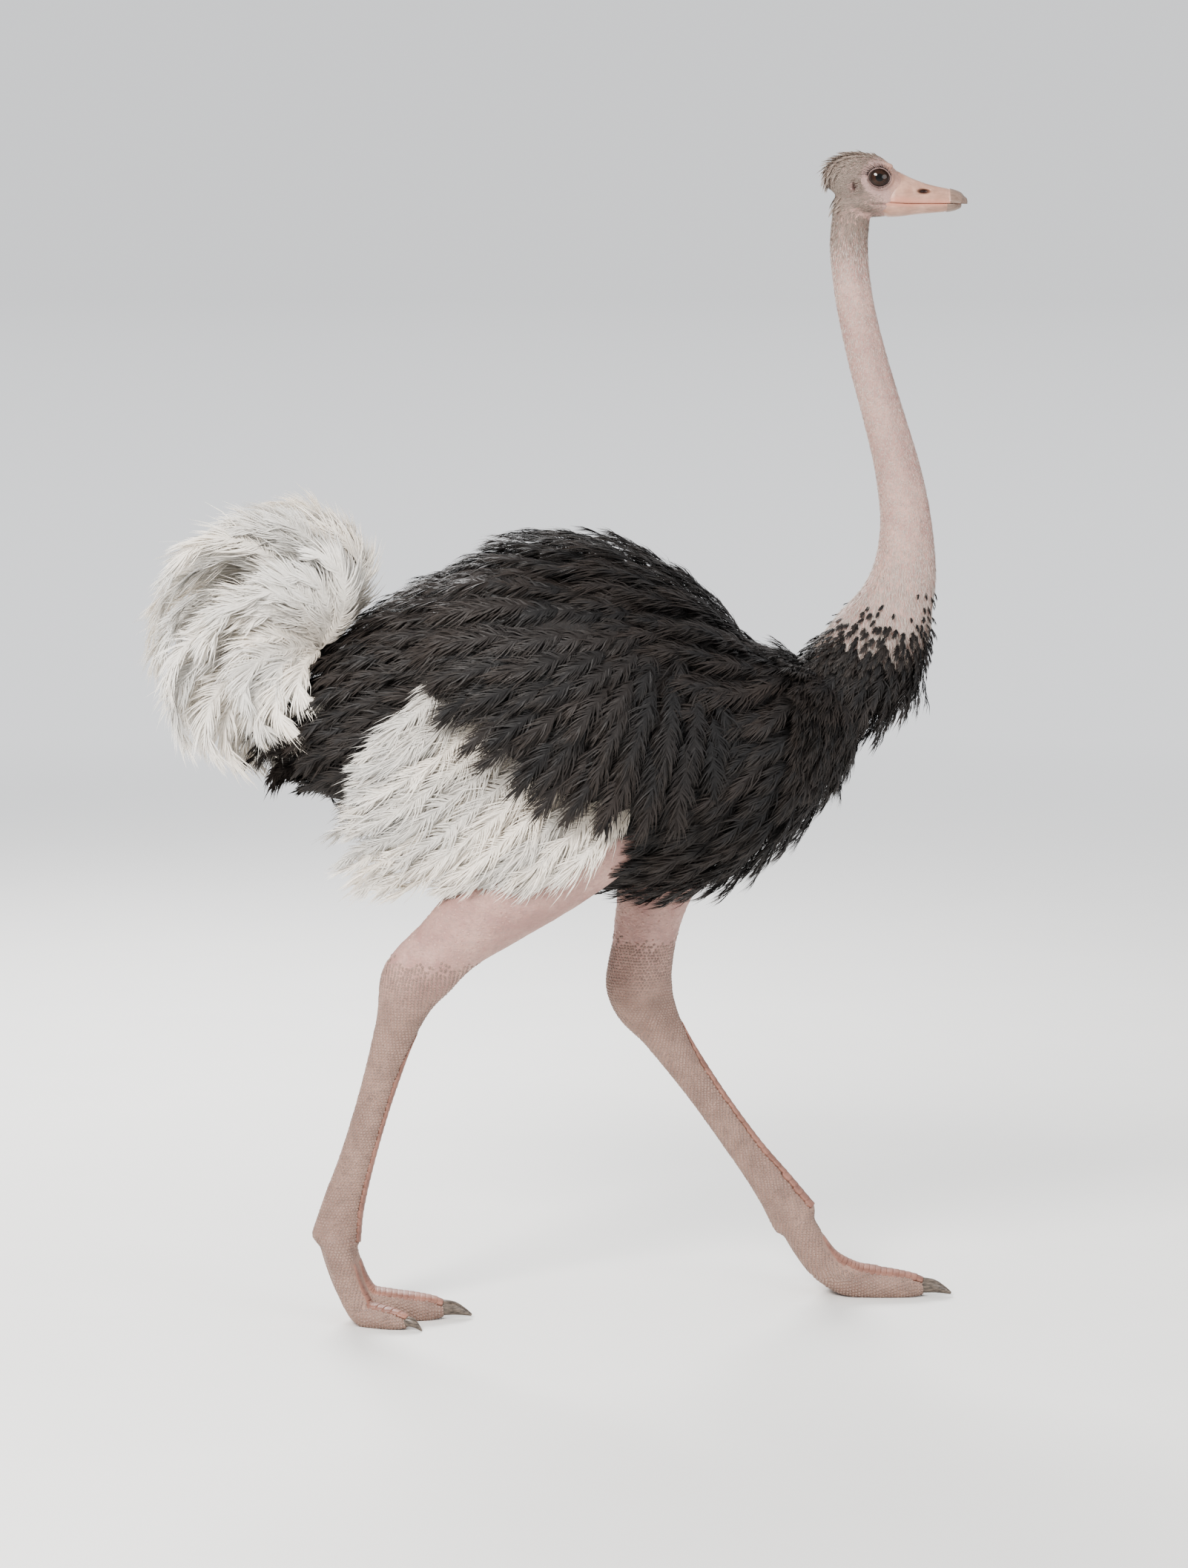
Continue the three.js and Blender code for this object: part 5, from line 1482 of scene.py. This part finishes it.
# the round scales' places and directions: in rows around the leg, in rows around a toe where it falls
# steeply, and in rows across it where it lies
def pebbleSpots(leg, points, normals, ragged):
    rows, toes, gap = legRows(leg), bothToes(leg), scaleLook["pebble"]
    (legHalf, toeHalf), ball, (x, y, z) = scaleLook["half"], rows[-1, 2], points.T
    mine, spots = leg["side"] * y > 0, []

    def lay(u, v, where, along):
        chosen = pickPoints(u, v, gap, where, scaleLook["rowShare"])
        du, dv = toCell(u[chosen], v[chosen], gap, scaleLook["rowShare"])
        stray = rng.normal(0, 0.06 * gap, (2, len(chosen)))
        out = normals[chosen]
        ahead = tangent(along[chosen], out)
        move = np.cross(out, ahead) * (du + stray[0])[:, None] + ahead * (dv + stray[1])[:, None]
        spots.append(np.hstack([points[chosen] + move, out]))

    angle, far, _ = aroundLimb(points, rows)
    around, along, way = limbArcs(points, rows, angle)
    free = np.abs(angle) > legHalf * 0.93 * fade(-z, -0.52, -0.44) * (z > ball + 0.012)
    lay(around + 1, along, mine & (z > ball) & (z < ragged) & free & (far < 1.5), way)
    fallen, lying = [[measure(points, toe) for toe in toes] for measure in (aroundLimb, aroundToe)]
    for own, toe in enumerate(toes):
        (angle, far, _), (turn, near, reach) = fallen[own], lying[own]
        steep = (z > 0.032) & (x < toe[3, 0] + 0.012) & (far < 1.5)
        free = np.abs(angle) > toeHalf * 0.95 * fade(ball - z, 0.012, 0.045)
        around, along, way = limbArcs(points, toe, angle)
        nearer = far <= fallen[1 - own][1]
        lay(around + 1, along, mine & (z <= ball) & steep & free & nearer, way)
        flat = (z < 0.097) & ~steep & (near < 1.5) & (near <= lying[1 - own][1]) & (normals[:, 2] > -0.75)
        free = np.abs(turn) > toeHalf * 0.95
        lay(reach + 1, x + 1, mine & flat & free, np.tile([1.0, 0, 0], (len(points), 1)))
    return np.hsplit(np.vstack(spots), 2)


def makeFollicles(name, leg):       # the quill follicles of the bare thigh
    rows = legRows(leg)
    angle, far, _ = aroundLimb(skinPoints, rows)
    around, along, _ = limbArcs(skinPoints, rows, angle)
    thigh = (leg["side"] * skinPoints[:, 1] > 0) & (far < 1.3) & (skinHigh > 0.64) & (skinHigh < 0.98)
    chosen = pickPoints(around + 1, along, scaleLook["follicle"], thigh & (trunkShare(skinPoints) > 1.12))
    out = skinNormals[chosen]
    place = skinPoints[chosen] + tangent(rng.normal(0, 1, out.shape), out) * 2.5 * mm
    domes = pebbles(place - out * 0.45 * mm, out, scaleLook["pebble"])
    settle(makePiece("follicles_" + name, *domes, thighSkin), "thigh_skin")


footPoints, footNormals = denseSkin(0.68)
ragged = 0.62 + 0.015 * rng.normal(0, 1, len(footPoints))      # the scales' upper edge on the thigh
for name, leg in legs.items():
    makeShields(name, leg)
    spots = pebbleSpots(leg, footPoints, footNormals, ragged)
    makeFollicles(name, leg)
    settle(makePiece("pebbles_" + name, *pebbles(*spots, scaleLook["pebble"]), pebbleSkin), "leg_scales")
    print("scales", name, len(spots[0]))


# floor, light and camera
view = {"middle": Vector((hips[0] + 0.027, 0, 0.946)), "frameHeight": 2.748,
        "distance": 8.5, "elevation": 8.0, "backdrop": (0.94, 0.95, 0.97), "bright": 0.85, "floor": 60.0}


# the floor turns into the colour of the world far away, so that no horizon shows
def makeStage():
    corners = np.array([[-1, -1, 0], [1, -1, 0], [1, 1, 0], [-1, 1, 0]]) * view["floor"]
    floor = makePiece("floor", corners, [np.arange(4)[None]])
    f = Finish("paleFloor")
    floor.data.materials.append(f.done(f.mix(f.noise(3, 4), (0.74, 0.73, 0.71), (0.78, 0.77, 0.75)), 0.8))
    far = f.node("VectorMath", {0: f.where}, operation="LENGTH").outputs["Value"]
    glow = f.ramp(far, 5, 45, 1.06, view["bright"])
    haze = f.node("Emission", {"Color": view["backdrop"], "Strength": glow})
    blend = f.node("MixShader", {0: f.ramp(far, 2.0, 8), 1: f.shader.outputs[0], 2: haze.outputs[0]})
    f.fill(f.tree.nodes["Material Output"].inputs, {0: blend.outputs[0]})
    world = bpy.data.worlds.new("studio")
    bpy.context.scene.world = world
    world.use_nodes = True
    sky = world.node_tree.nodes["Background"].inputs
    sky[0].default_value = (*view["backdrop"], 1)
    sky[1].default_value = view["bright"]
    bpy.context.scene.view_settings.look = "AgX - Medium High Contrast"


def areaLight(name, place, size, power, colour=(1, 1, 1)):
    lamp = bpy.data.lights.new(name, "AREA")
    lamp.shape = "DISK"
    lamp.size = size
    lamp.energy = power
    lamp.color = colour
    holder = bpy.data.objects.new(name, lamp)
    holder.location = place
    holder.rotation_euler = (view["middle"] - Vector(place)).to_track_quat("-Z", "Y").to_euler()
    bpy.context.scene.collection.objects.link(holder)


def makeCamera():
    lens = bpy.data.cameras.new("camera")
    lens.sensor_fit = "VERTICAL"
    lens.angle = 2 * math.atan(view["frameHeight"] / 2 / view["distance"])
    lens.clip_end = 100
    camera = bpy.data.objects.new("camera", lens)
    tilt = math.radians(view["elevation"])
    camera.location = view["middle"] + view["distance"] * Vector((0, -math.cos(tilt), math.sin(tilt)))
    camera.rotation_euler = (math.radians(90) - tilt, 0, 0)
    bpy.context.scene.collection.objects.link(camera)
    bpy.context.scene.camera = camera


makeStage()
areaLight("key", (-2.6, -4.6, 4.6), 2.2, 520, (1, 0.98, 0.95))
areaLight("fill", (4.5, -4.0, 2.4), 3.5, 110, (0.95, 0.98, 1))
areaLight("rim", (-1.5, 4.2, 3.8), 2.4, 320)
makeCamera()
